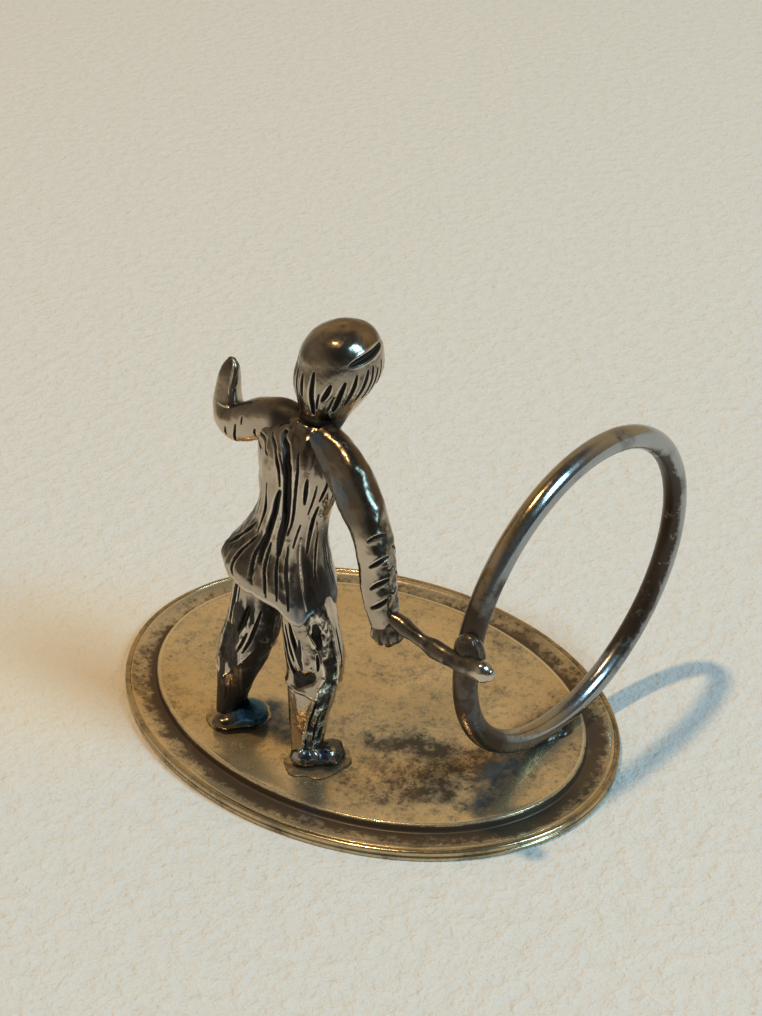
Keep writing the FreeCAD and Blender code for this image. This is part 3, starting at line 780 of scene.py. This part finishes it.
locks = [
    (0.30, 0.28, (322, 31.22), (336, 31.40), (352, 31.50), (372, 31.58), (390, 31.62)),
    (0.10, 0.08, (172, 30.85), (200, 30.80), (232, 30.82)),
    (0.15, 0.18, (240, 30.6), (244, 29.4), (248, 28.2)), (0.19, 0.22, (254, 30.4), (257, 29.5), (259, 28.7)),
    (0.21, 0.25, (273, 30.8), (275, 29.7), (278, 28.2), (280, 27.4)),
    (0.19, 0.22, (300, 30.1), (297, 29.4), (292, 28.7)),
    (0.21, 0.25, (318, 30.2), (315, 29.4), (314, 28.4), (312, 27.8)),
    (0.18, 0.22, (333, 30.6), (330, 29.4), (326, 28.2)),
    (0.18, 0.20, (350, 30.7), (345, 29.4), (340, 28.4)), (0.10, 0.11, (287, 29.4), (286, 28.6), (285, 27.9)),
    (0.10, 0.11, (308, 29.2), (305, 28.4), (302, 27.7))]
combed = np.random.default_rng(7)
for k in range(24):
    at = -2.0 + k * 11.2 + combed.uniform(-2.5, 2.5)
    if 232.0 < at % 360.0 < 357.0:
        continue
    if 36.0 < at < 132.0:
        locks.append((0.08, 0.09, (at, 31.2 + combed.uniform(0, 0.2)), (at + combed.uniform(-5, 5), 31.5)))
    else:
        locks.append((0.15, 0.18, (at, 30.8 + combed.uniform(-0.5, 0.1)), (at - 2, 29.5),
                      (at - 4, 28.1 + combed.uniform(-0.3, 0.3))))
skin = tooled(skin, 43, 0.030, 0.006)
skin, black, rubbed = gouged(skin, skin[..., 2].copy(), locks)
lip_line = np.exp(-((z - 28.12) / 0.05) ** 2 - (u / 0.52) ** 4)
black = np.maximum(black, np.clip((lid * 0.9 + lip_line) * front, 0, 1))
# Painted shade: the neck is made black where it goes down into the collar.
black = np.maximum(black, (1.0 - ramp(z, 26.5, 27.2)) * 0.7)
rubbed = np.maximum(rubbed, (brow + mound(u, z, 0, 28.9, 0.3, 0.3)) * front * 0.8)
# Painted shade on the neck under the head, a darker band over the hair at the back, the cap kept lighter.
nape = ((1.0 - ramp(z, 26.9, 27.9)) * 0.9
        + np.exp(-((z - 29.8) / 1.7) ** 4) * 0.48 * hair * (1.0 - front) - 0.15 * cap)
cast_piece("head", skin, np.clip(black, 0, 1), np.clip(rubbed, 0, 1), 0.1, 0.006, shade=nape)

# ------------------------------------------------------------------ the arms
# Each arm is its own casting let into the shoulder.  The left one is raised with
# an open mitten hand; the right one reaches down to the stick.  Short cuts mark
# the creases of the sleeves.
left_arm_sections = [
    (-0.90, -4.40, 25.20, 1.30, 1.15), (-2.50, -4.55, 25.75, 1.40, 1.25), (-4.30, -4.70, 25.35, 1.40, 1.25),
    (-6.00, -4.75, 24.50, 1.38, 1.22), (-7.10, -4.65, 24.30, 1.28, 1.15), (-7.70, -4.40, 25.05, 1.12, 1.00),
    (-7.85, -4.15, 26.10, 0.96, 0.78), (-7.88, -3.85, 27.20, 0.80, 0.58), (-7.85, -3.66, 27.85, 0.60, 0.44),
    (-7.84, -3.58, 28.22, 0.34, 0.25)]
skin, along, turn = cast_form(left_arm_sections, 240, 220, level=False, square=0.10)
cuts = [
    (0.12, 0.14, (275, 6.1), (262, 6.2), (250, 6.2)),
    (0.14, 0.18, (282, 5.0), (262, 5.4), (240, 5.7), (214, 5.9)),
    (0.10, 0.12, (297, 4.2), (277, 4.5)), (0.12, 0.14, (60, 6.0), (84, 6.2), (110, 6.1)),
    (0.11, 0.13, (262, 3.4), (248, 3.7), (232, 3.8)), (0.12, 0.14, (50, 4.6), (78, 4.9), (104, 5.1)),
    (0.12, 0.14, (66, 3.0), (90, 3.4), (110, 3.6)), (0.08, -0.07, (262, 8.05), (312, 7.6), (358, 7.3)),
    (0.06, 0.07, (100, 9.4), (100, 10.9)), (0.06, 0.07, (78, 9.5), (80, 10.8)),
    (0.06, 0.07, (60, 9.6), (62, 10.6)), (0.10, -0.08, (306, 8.6), (310, 10.2), (318, 11.2))]
skin = tooled(skin, 57, 0.055, 0.006)
skin, black, rubbed = gouged(skin, along.copy(), cuts)
black = np.maximum(black, (1.0 - ramp(along, 1.6, 2.7)) * 0.6 * (np.cos(np.radians(turn - 300)) > -0.4))
cast_piece("left_arm", skin, black, rubbed, 0.2, 0.16)

right_arm_sections = [
    (0.90, -4.90, 25.90, 1.15, 1.10), (2.45, -5.25, 25.05, 1.50, 1.20), (4.00, -5.80, 24.05, 1.72, 1.25),
    (5.40, -6.40, 22.80, 1.62, 1.25), (6.52, -6.85, 21.40, 1.34, 1.25), (7.20, -7.20, 19.60, 1.20, 1.25),
    (7.58, -7.55, 17.80, 1.17, 1.15), (7.98, -7.76, 16.55, 1.05, 1.04), (8.22, -7.82, 15.70, 0.98, 0.98)]
skin, along, turn = cast_form(right_arm_sections, 250, 220, level=False, square=0.10)
cuts = [
    (0.15, 0.17, (246, 7.8), (226, 7.7), (205, 7.65), (180, 7.7)),
    (0.17, 0.20, (256, 9.4), (232, 9.2), (210, 9.0), (188, 8.9)),
    (0.17, 0.20, (262, 10.9), (240, 10.6), (214, 10.4), (195, 10.3)),
    (0.17, 0.20, (269, 12.2), (245, 12.1), (222, 11.9), (203, 11.7)),
    (0.12, 0.12, (170, 8.4), (150, 8.6), (128, 8.6)), (0.12, 0.13, (165, 10.0), (144, 10.2), (120, 10.1)),
    (0.10, 0.11, (196, 11.2), (180, 11.4), (166, 11.2)), (0.12, 0.13, (150, 11.4), (130, 11.5), (108, 11.3)),
    (0.10, 0.11, (200, 9.7), (186, 9.8), (172, 9.6)), (0.12, 0.13, (60, 8.2), (84, 8.4), (104, 8.3)),
    (0.12, 0.13, (50, 9.9), (76, 10.2), (98, 10.0)), (0.12, 0.13, (60, 5.4), (84, 5.8), (104, 5.6)),
    (0.12, 0.13, (46, 3.4), (72, 3.8), (96, 3.5)), (0.09, 0.10, (292, 3.6), (300, 4.4), (304, 5.1))]
skin = tooled(skin, 61, 0.075, 0.008)
rough_side = ramp(np.cos(np.radians(turn - 165.0)), 0.1, 0.7) * ramp(along, 6.8, 8.2)
skin = skin + outward(skin) * (layered(skin, 0.55, 63, 2) * 0.05 * rough_side)[..., None]
skin, black, rubbed = gouged(skin, along.copy(), cuts)
black = np.maximum(black, ramp(layered(skin, 0.6, 65), 0.25, 0.7) * rough_side * 0.6)
# Painted shade on the rough outer side; painted shade and a painted blue reflection of the cool window on the
# top of the upper sleeve.
sleeve_top = (1.0 - ramp(along, 6.2, 8.4)) * ramp(np.cos(np.radians(turn - 330.0)), -0.55, 0.05)
cast_piece("right_arm", skin, black, rubbed, 0.2, 0.30, shade=rough_side * 0.45 + sleeve_top * 0.85,
           blue_tint_and_painted_light=sleeve_top * 0.50 * ramp(layered(skin, 1.4, 67), -0.5, 0.6))

# ------------------------------------------------------------------ the right hand
# A small closed fist cast round the stick: four fingers curl under it and the
# thumb lies along the top.  The gaps between the fingers are black.
fist_low, fist_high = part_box("right_hand")
fist_middle = (np.array(fist_low) + np.array(fist_high)) * 0.5 / MM
turn = np.linspace(0.0, 2.0 * math.pi, 220, endpoint=False)
rise = np.linspace(-0.985, 0.985, 130)[:, None] * np.ones((1, 220))
girth = np.sqrt(1.0 - rise ** 2)
fist = [girth * np.cos(turn) * 1.08, girth * np.sin(turn) * 1.10, rise * 1.20]
skin = fist_middle + np.stack(fist, axis=-1)
skin[..., 0] -= 0.15
skin[..., 2] -= 0.10
curled = 1.0 - ramp(skin[..., 2], fist_middle[2] - 0.5, fist_middle[2] + 0.5)
knuckles = []
for finger in range(4):
    x_at = fist_middle[0] - 0.80 + finger * 0.52
    knuckles.append(np.exp(-((skin[..., 0] - x_at) / 0.25) ** 2) * curled)
lobes = np.max(knuckles, axis=0)
under_side = 1.0 - ramp(skin[..., 2], fist_middle[2] - 0.6, fist_middle[2] + 0.4)
black = np.clip(under_side * (0.75 - lobes) * 1.8, 0.0, 1.0)
on_top = ramp(skin[..., 2], fist_middle[2] + 0.1, fist_middle[2] + 0.9)
thumb = np.exp(-((skin[..., 1] - fist_middle[1] + 0.55) / 0.32) ** 2) * on_top
skin = skin + outward(skin) * (lobes * 0.22 + thumb * 0.14 - 0.08)[..., None]
skin = tooled(skin, 71, 0.03, 0.008, 0.7)
left_side = 1.0 - ramp(skin[..., 0], fist_middle[0] - 0.9, fist_middle[0] - 0.2)
rubbed = (lobes * 0.3 + thumb * 0.5) * (1 - black)
# Painted shade over the fist, left lighter on its left side.
cast_piece("right_hand", skin, black, rubbed, 0.0, 0.0, shade=0.85 - left_side * 0.8)

# ------------------------------------------------------------------ the legs
# Two castings in knee breeches and stockings, let in under the hem.  Folds run down
# the thighs, the breeches end in a rolled edge below the knee, and the right
# leg's outer side is left rough from the mould.
left_leg_sections = [
    (-6.15, -8.00, 1.90, 1.10, 1.20), (-6.00, -7.90, 3.20, 1.20, 1.25), (-5.60, -7.80, 4.80, 1.40, 1.45),
    (-5.15, -7.60, 6.40, 1.75, 1.80), (-4.55, -7.40, 8.40, 1.95, 2.00), (-4.00, -7.20, 10.40, 1.90, 1.95),
    (-3.60, -7.00, 12.40, 1.85, 1.90), (-3.30, -6.80, 15.60, 1.75, 1.85)]
skin, along, turn = cast_form(left_leg_sections, 250, 320)
z = skin[..., 2].copy()
hem = np.interp(turn, (0, 60, 120, 180, 225, 245, 268, 285, 305, 320, 345, 360),
                (8.6, 7.6, 7.0, 6.8, 6.5, 6.2, 6.0, 6.8, 8.1, 9.0, 9.0, 8.6))
step = ramp(z - hem, -0.05, 0.16)
skin = skin + outward(skin) * (step * 0.14 - 0.06 + 0.06 * np.exp(-((z - hem - 0.22) / 0.16) ** 2))[..., None]
ragged = layered(skin, 0.9, 81, 3)
pit = np.exp(-np.abs((turn - 250.0 - (z - 9.4) * -3.0) / 25.0 + ragged * 0.3) ** 4
             - np.abs((z - 9.35) / 1.45 + ragged * 0.3) ** 4)
skin = skin - outward(skin) * (pit * 0.45)[..., None]
cuts = [
    (0.27, 0.30, (252, 14.6), (246, 13.3), (240, 12.0), (242, 10.5)),
    (0.27, 0.30, (290, 12.9), (283, 11.5), (272, 10.0)),
    (0.09, 0.10, (262, 14.3), (260, 13.3), (258, 12.6)), (0.13, 0.16, (222, 13.6), (219, 12.0), (220, 10.6)),
    (0.16, 0.18, (316, 12.6), (310, 11.2), (306, 9.9), (297, 8.7)),
    (0.14, 0.15, (296, 10.6), (291, 9.6), (284, 8.6)),
    (0.14, 0.16, (200, 14.0), (196, 11.0), (204, 8.2)), (0.14, 0.16, (170, 14.0), (166, 11.2), (172, 8.4)),
    (0.15, 0.17, (140, 14.0), (134, 11.0), (132, 8.4)), (0.15, 0.17, (110, 13.6), (104, 11.0), (100, 8.2)),
    (0.15, 0.17, (78, 13.6), (72, 11.4), (66, 9.0)), (0.14, 0.16, (350, 12.8), (346, 11.2), (350, 9.8)),
    (0.15, 0.17, (20, 13.2), (24, 11.4), (28, 9.4)), (0.10, 0.11, (252, 5.7), (256, 4.6), (262, 3.6)),
    (0.10, 0.10, (286, 5.9), (296, 4.8), (304, 3.8)), (0.09, 0.09, (228, 5.6), (226, 4.4), (230, 3.4)),
    (0.13, -0.10, (268, 5.8), (272, 5.1), (280, 4.5), (276, 3.6)),
    (0.12, -0.12, (296, 8.8), (304, 7.4), (316, 5.8), (340, 3.8))]
skin = pulled(tooled(skin, 83, 0.035, 0.009), 85, 0.04)
skin, black, rubbed = gouged(skin, skin[..., 2].copy(), cuts)
black = np.maximum(black, ramp(pit, 0.15, 0.50))
streaks = ramp(layered(skin * [1, 1, 0.3], 0.6, 91), 0.05, 0.45)
black = np.maximum(black, (1.0 - ramp(z, 11.8, 15.2)) * step * streaks * 0.75)
black = np.maximum(black, np.exp(-((z - hem + 0.06) / 0.10) ** 2) * 0.85)
# Painted shade: the stocking below the breeches is darkened and in part made black.
black = np.maximum(black, (1.0 - step) * ramp(layered(skin, 1.1, 87), -0.7, 0.4) * 0.70)
rubbed = np.maximum(rubbed, np.exp(-((z - hem - 0.25) / 0.20) ** 2) * 0.8) * (1.0 - black)
# Painted shade on the inner side of the leg, in part made black, with a painted blue reflection.
inner = np.maximum(np.exp(-((turn - 350.0) / 45.0) ** 4), np.exp(-((turn + 10.0) / 45.0) ** 4))
black = np.maximum(black, inner * ramp(layered(skin, 0.8, 89), -0.6, 0.3) * 0.75)
cast_piece("left_leg", skin, black, rubbed, 0.15, 0.1, shade=(1.0 - step) * 0.75 + inner * 0.8,
           blue_tint_and_painted_light=inner * 0.35)

right_leg_sections = [
    (1.20, -8.25, 1.90, 1.15, 1.20), (1.30, -8.15, 3.40, 1.30, 1.30), (1.45, -8.00, 5.40, 1.55, 1.55),
    (1.70, -7.85, 7.40, 1.80, 1.80), (1.85, -7.60, 9.50, 1.95, 1.95), (1.45, -7.35, 11.20, 1.95, 1.95),
    (1.00, -7.10, 12.80, 1.85, 1.90), (0.60, -6.90, 15.00, 1.60, 1.70)]
skin, along, turn = cast_form(right_leg_sections, 250, 320)
z = skin[..., 2].copy()
hem = np.interp(turn, (0, 60, 130, 200, 258, 290, 313, 330, 345, 360),
                (8.4, 8.0, 7.9, 8.0, 8.1, 8.0, 7.6, 7.6, 8.2, 8.4))
step = ramp(z - hem, -0.05, 0.14)
skin = skin + outward(skin) * (step * 0.13 - 0.06 + 0.06 * np.exp(-((z - hem - 0.2) / 0.15) ** 2))[..., None]
ridge_at = np.interp(z, (2.0, 3.7, 6.2, 8.6, 9.7, 11.5, 12.5, 14.0), (283, 294, 307, 316, 328, 318, 307, 300))
beyond = ramp(turn - ridge_at, 0.0, 9.0) * (1.0 - ramp(turn - ridge_at, 62.0, 90.0))
crags = layered(skin, 0.75, 95, 3)
skin = skin + outward(skin) * (-beyond * 0.16 + crags * 0.10 * beyond)[..., None]
pit = np.exp(-np.abs((turn - 326.0) / 10.0) ** 3 - np.abs((z - 12.3) / 0.95) ** 3)
ragged = layered(skin, 0.8, 93, 3) * 0.35
hollow = np.exp(-np.abs((turn - 284.0) / 27.0 + ragged) ** 4
                - np.abs((z - 9.15 - ((turn - 276) / 30.0) ** 2 * 0.55) / 0.70 + ragged) ** 4)
skin = skin - outward(skin) * (pit * 0.25 + hollow * 0.38)[..., None]
cuts = [
    (0.23, 0.26, (236, 13.4), (243, 11.8), (249, 10.6), (258, 9.3)),
    (0.22, 0.25, (268, 13.2), (274, 11.9), (279, 10.9), (282, 10.0)),
    (0.12, 0.14, (287, 12.2), (285, 11.4), (283, 10.7)), (0.15, 0.17, (254, 12.9), (260, 11.6), (266, 10.4)),
    (0.20, -0.20, (307, 12.6), (318, 11.5), (327, 9.8), (317, 8.7)),
    (0.17, -0.20, (317, 8.6), (307, 6.3), (296, 4.0), (284, 2.2)),
    (0.14, -0.14, (340, 8.2), (330, 6.6), (322, 4.8), (313, 3.2)),
    (0.13, 0.15, (318, 11.2), (317, 10.6), (314, 10.0)),
    (0.14, 0.16, (226, 12.8), (222, 11.0), (228, 9.2)), (0.14, 0.16, (196, 12.8), (190, 11.0), (196, 9.0)),
    (0.14, 0.16, (166, 13.0), (160, 11.0), (164, 9.0)), (0.15, 0.17, (136, 12.8), (130, 11.0), (128, 9.0)),
    (0.15, 0.17, (106, 13.0), (102, 11.0), (100, 9.0)), (0.15, 0.17, (74, 12.8), (72, 11.0), (70, 9.2)),
    (0.14, 0.16, (44, 12.6), (42, 11.0), (40, 9.4)), (0.12, 0.14, (14, 12.4), (12, 10.8), (10, 9.4)),
    (0.13, 0.14, (320, 7.4), (312, 6.0), (304, 4.4)), (0.12, 0.13, (338, 6.2), (330, 4.8), (324, 3.4))]
skin = pulled(tooled(skin, 97, 0.03, 0.009), 99, 0.04)
skin, black, rubbed = gouged(skin, skin[..., 2].copy(), cuts)
black = np.maximum(black, np.maximum(ramp(pit, 0.3, 0.7), ramp(hollow, 0.25, 0.6)))
black = np.maximum(black, np.exp(-((z - hem + 0.06) / 0.09) ** 2) * 0.9 * (1.0 - beyond))
black = np.maximum(black, beyond * ramp(-crags, -0.15, 0.5) * 0.80)
rubbed = np.maximum(rubbed, beyond * ramp(crags, 0.05, 0.5)) * (1.0 - black)
# Painted shade on the rough outer side, with a painted blue reflection low down.
cast_piece("right_leg", skin, black, rubbed, 0.15, 0.1, shade=beyond * 0.60,
           blue_tint_and_painted_light=beyond * 0.35 * (1.0 - ramp(z, 8.0, 10.5)))

# ------------------------------------------------------------------ the shoes
# Low rounded shoes cast separately and soldered down on the field, both toes
# pointing ahead and a little outwards.  The left toe is a smooth ball, the right
# shoe is rough like the leg above it.
shoe_turn = math.radians(50.0)
toe = np.array([math.cos(shoe_turn), math.sin(shoe_turn), 0.0])
low_last = ((-0.04, 0.42, 0.62), (0.08, 0.84, 0.98), (0.28, 0.98, 1.06), (0.52, 0.98, 0.98),
            (0.74, 1.04, 0.92), (0.90, 0.90, 0.74), (1.00, 0.45, 0.40))
ball_last = ((-0.04, 0.42, 0.50), (0.08, 0.84, 0.78), (0.26, 0.92, 0.90), (0.46, 1.00, 1.10),
             (0.70, 1.16, 1.32), (0.90, 0.98, 1.12), (1.03, 0.50, 0.62))
for node, heel, seed, rough_shoe, last in (("left_shoe", (-6.10, -9.55), 101, 0.0, ball_last),
                                           ("right_shoe", (1.10, -9.30), 103, 1.0, low_last)):
    stops = []
    for part, wide, tall in last:
        spot = np.array([heel[0], heel[1], field_top + 0.75 * tall * 0.86]) + toe * 3.3 * part
        stops.append((*spot, 0.78 * tall, 1.05 * wide))
    skin, along, turn = cast_form(stops, 150, 200, level=False)
    crags = layered(skin, 0.8, seed + 3, 3)
    skin = skin + outward(skin) * (crags * (0.015 + 0.075 * rough_shoe))[..., None]
    skin = tooled(skin, seed, 0.03, 0.008)
    height = skin[..., 2] - field_top
    seam = np.exp(-((height - 0.30) / 0.06) ** 2)
    skin = skin - outward(skin) * (seam * 0.05)[..., None]
    skin[..., 2] = np.maximum(skin[..., 2], field_top)
    black = np.clip(seam * 0.8 + (1.0 - ramp(height, 0.0, 0.35)) * 0.7, 0.0, 1.0)
    black = np.maximum(black, rough_shoe * ramp(-crags, 0.0, 0.5) * 0.7)
    rubbed = rough_shoe * ramp(crags, 0.25, 0.7) * (1.0 - black)
    # Painted shade on both shoes; a painted blue reflection of the cool window on the left toe ball and over
    # the right shoe.
    heat_and_painted_light = 0.35 if rough_shoe else ramp(along, 0.9, 2.0)
    cast_piece(node, skin, black, rubbed, 0.22, 0.25, shade=0.6, blue_tint_and_painted_light=heat_and_painted_light)

# ------------------------------------------------------------------ the stick
# A short tapering rod cast with a rounded end, held in the fist and soldered
# across the hoop.  Smooth, with painted shade along it up to the bright end, darkened where the solder took.
stick_sections = [
    (8.30, -7.75, 16.45, 0.46, 0.50), (9.60, -7.80, 16.05, 0.60, 0.62), (11.20, -7.90, 15.58, 0.46, 0.46),
    (12.60, -7.95, 15.34, 0.66, 0.62), (14.10, -7.98, 15.25, 0.60, 0.58), (15.30, -7.98, 15.28, 0.70, 0.68),
    (16.20, -7.98, 15.32, 0.74, 0.70), (16.70, -7.98, 15.34, 0.46, 0.43)]
skin, along, turn = cast_form(stick_sections, 200, 140, level=False)
skin = tooled(skin, 109, 0.06, 0.008, 1.1)
heat_and_painted_light = np.exp(-((skin[..., 0] - 13.2) / 1.5) ** 2)
spots = 0.25 * ramp(layered(skin, 0.9, 113), 0.0, 0.6)
black = np.clip(heat_and_painted_light * (0.50 + 0.5 * layered(skin, 0.7, 111)) + spots, 0.0, 0.8)
bright_end = ramp(skin[..., 0], 15.3, 16.2)
cast_piece("stick", skin, black * (1.0 - bright_end), bright_end * 0.6, 0.2, 0.26,
           shade=0.65 * (1.0 - bright_end))

# ------------------------------------------------------------------ the solder joints
# Soft solder flowed round each shoe, under the hoop and where the stick crosses
# it.  Left as it ran: low lumps with a dull skin and a dark outline.
flux = Finish("dull solder")
fine = flux.swirl(0.2, 5.0, 0.7)
cloud = flux.swirl(1.1, 4.0, 0.6)
outline_and_painted_shade = flux.mark("recess_and_painted_shade")
dirt_and_painted_shade = (outline_and_painted_shade * 0.9 + cloud.ease(0.35, 0.75) * 0.45 + fine.ease(0.45, 0.65) * 0.35).ease(0.0, 1.1)
solder_skin = flux.finish(
    dirt_and_painted_shade.mix((0.50, 0.39, 0.235), (0.050, 0.036, 0.025)), fine.ease(0.3, 0.8, 0.20, 0.32), 0.75 - dirt_and_painted_shade * 0.3,
    fine + cloud * 0.6, 0.35, 0.04)


def lump(node, middle, half, seed, ragged, floor=None, turned=0.0, burnt_and_shade=0.0):
    """A frozen blob of solder, flat underneath when it sits on the field."""
    turn = np.linspace(0.0, 2.0 * math.pi, 150, endpoint=False)
    rise = np.sin(np.linspace(-1.50, 1.50, 70))[:, None] * np.ones((1, 150))
    girth = np.sqrt(np.maximum(1.0 - rise ** 2, 0.0))
    round_it = np.stack([np.cos(turn), np.sin(turn), 0 * turn], axis=-1)
    edge = 1.0 + ragged * layered(round_it * 3.0, 1.6, seed, 3)
    x = girth * np.cos(turn) * half[0] * edge
    y = girth * np.sin(turn) * half[1] * edge
    c, s = math.cos(turned), math.sin(turned)
    skin = np.stack([middle[0] + x * c - y * s, middle[1] + x * s + y * c,
                     middle[2] + rise * half[2]], axis=-1)
    skin = tooled(skin, seed + 2, 0.04, 0.008, 0.8)
    black = np.maximum(0.8 - ramp(np.abs(rise), 0.02, 0.35), burnt_and_shade)
    if floor is not None:
        skin[..., 2] = np.maximum(skin[..., 2], floor)
    cast_piece(node, skin, black, np.zeros(black.shape), 0.0, 0.0, solder_skin)


for node, heel, seed in (("solder_left_foot", (-6.60, -8.75), 121),
                         ("solder_right_foot", (1.10, -9.30), 123)):
    at = np.array([heel[0], heel[1], field_top]) + toe * 3.3 * 0.45
    lump(node, at, (2.35, 1.85, 0.10), seed, 0.10, field_top - 0.10, shoe_turn, 0.12)
seat_low, seat_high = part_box("solder_hoop_seat")
seat_middle = (np.array(seat_low) + np.array(seat_high)) * 0.5 / MM
# Painted contact shadow: the seat under the hoop is darkened all over.
lump("solder_hoop_seat", (seat_middle[0], seat_middle[1], field_top), (1.05, 2.00, 0.42), 127, 0.10,
     field_top - 0.10, burnt_and_shade=0.8)
joint_low, joint_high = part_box("solder_stick")
joint_middle = (np.array(joint_low) + np.array(joint_high)) * 0.5 / MM
lump("solder_stick", joint_middle + [0.62, 0.12, 0.0], (1.05, 0.82, 1.55), 131, 0.14, burnt_and_shade=0.85)

# ------------------------------------------------------------------ table, light and camera
# A plain cream table top.  A small warm lamp hangs almost overhead and a wide cool
# window stands to the right; tan walls stand far off and the ceiling is dark.
table_reach = 0.9
table_mesh = bpy.data.meshes.new("table_top")
corners = [(-table_reach, -table_reach, 0.0), (table_reach, -table_reach, 0.0),
           (table_reach, table_reach, 0.0), (-table_reach, table_reach, 0.0)]
table_mesh.from_pydata(corners, [], [(0, 1, 2, 3)])
table = bpy.data.objects.new("table_top", table_mesh)
bpy.context.scene.collection.objects.link(table)
paper = Finish("cream table top")
grain = paper.swirl(1.25, 3.0, 0.55)
fleck = paper.swirl(0.5, 4.0, 0.6)
cream = grain.ease(0.3, 0.7).mix((0.77, 0.76, 0.725), (0.80, 0.79, 0.755))
# A faint warm glow lies on the cream beside the foot, painted in its colour.
glow = (paper.place - (-0.0215, -0.0095, 0.0)).sum("LENGTH").ease(0.017, 0.004)
cream = (glow * 0.85).mix(cream, (0.835, 0.76, 0.625))
cream = paper.finish(cream, 0.80, 0.0, grain + fleck * 0.45, 1.0, 0.38)
table_mesh.materials.append(cream)

world = bpy.data.worlds.new("room")
bpy.context.scene.world = world
world.use_nodes = True
room = world.node_tree
room.nodes.clear()
look = Tap.node(room, "ShaderNodeTexCoord")
apart = room.nodes.new("ShaderNodeSeparateXYZ")
room.links.new(look.socket, apart.inputs[0])
east, north, height = (Tap(room, apart.outputs[k]) for k in range(3))
far_side = (north * 0.80 - east * 0.60).ease(-0.35, 0.45)
left_side = (east * -0.75 - north * 0.66).ease(0.15, 0.85)
walls = far_side.mix((0.085, 0.085, 0.080), (0.52, 0.37, 0.195))
walls = left_side.mix(walls, (0.42, 0.36, 0.28))
overhead = height.ease(0.62, 0.90)
wall = overhead.mix(walls, (0.075, 0.080, 0.085))
sky = Tap.node(room, "ShaderNodeBackground", None, {"Color": wall, "Strength": 1.0})
room_end = room.nodes.new("ShaderNodeOutputWorld")
room.links.new(sky.socket, room_end.inputs["Surface"])


def window(name, towards, away, wide, tall, colour, power):
    """A soft square light that shines at the middle of the object."""
    lamp = bpy.data.lights.new(name, "AREA")
    lamp.shape = "RECTANGLE"
    lamp.size = wide
    lamp.size_y = tall
    lamp.color = colour
    lamp.energy = power
    holder = bpy.data.objects.new(name, lamp)
    aim = Vector((0.0, 0.0, 0.012))
    holder.location = aim + Vector(towards).normalized() * away
    holder.rotation_euler = (aim - holder.location).to_track_quat("-Z", "Y").to_euler()
    bpy.context.scene.collection.objects.link(holder)
    return holder


window("warm_window", (-0.172, -0.145, 1.0), 1.00, 0.050, 0.050, (1.0, 0.69, 0.36), 4.5)
window("cool_window", (0.95, 0.15, 0.95), 1.00, 0.26, 0.48, (0.42, 0.76, 1.0), 6.6)

camera_data = bpy.data.cameras.new("camera")
camera_data.sensor_width = 36.0
camera_data.lens = 70.87
camera_data.clip_start = 0.005
camera = bpy.data.objects.new("camera", camera_data)
bpy.context.scene.collection.objects.link(camera)
right = Vector((0.7896, 0.6133, -0.0199)).normalized()
forward = Vector((-0.5238, 0.6567, -0.5425)).normalized()
above = right.cross(forward).normalized()
stand = Matrix((right, above, -forward)).transposed().to_4x4()
stand.translation = Vector((0.07398, -0.09045, 0.09278))
camera.matrix_world = stand
bpy.context.scene.camera = camera
bpy.context.scene.view_settings.view_transform = "Standard"
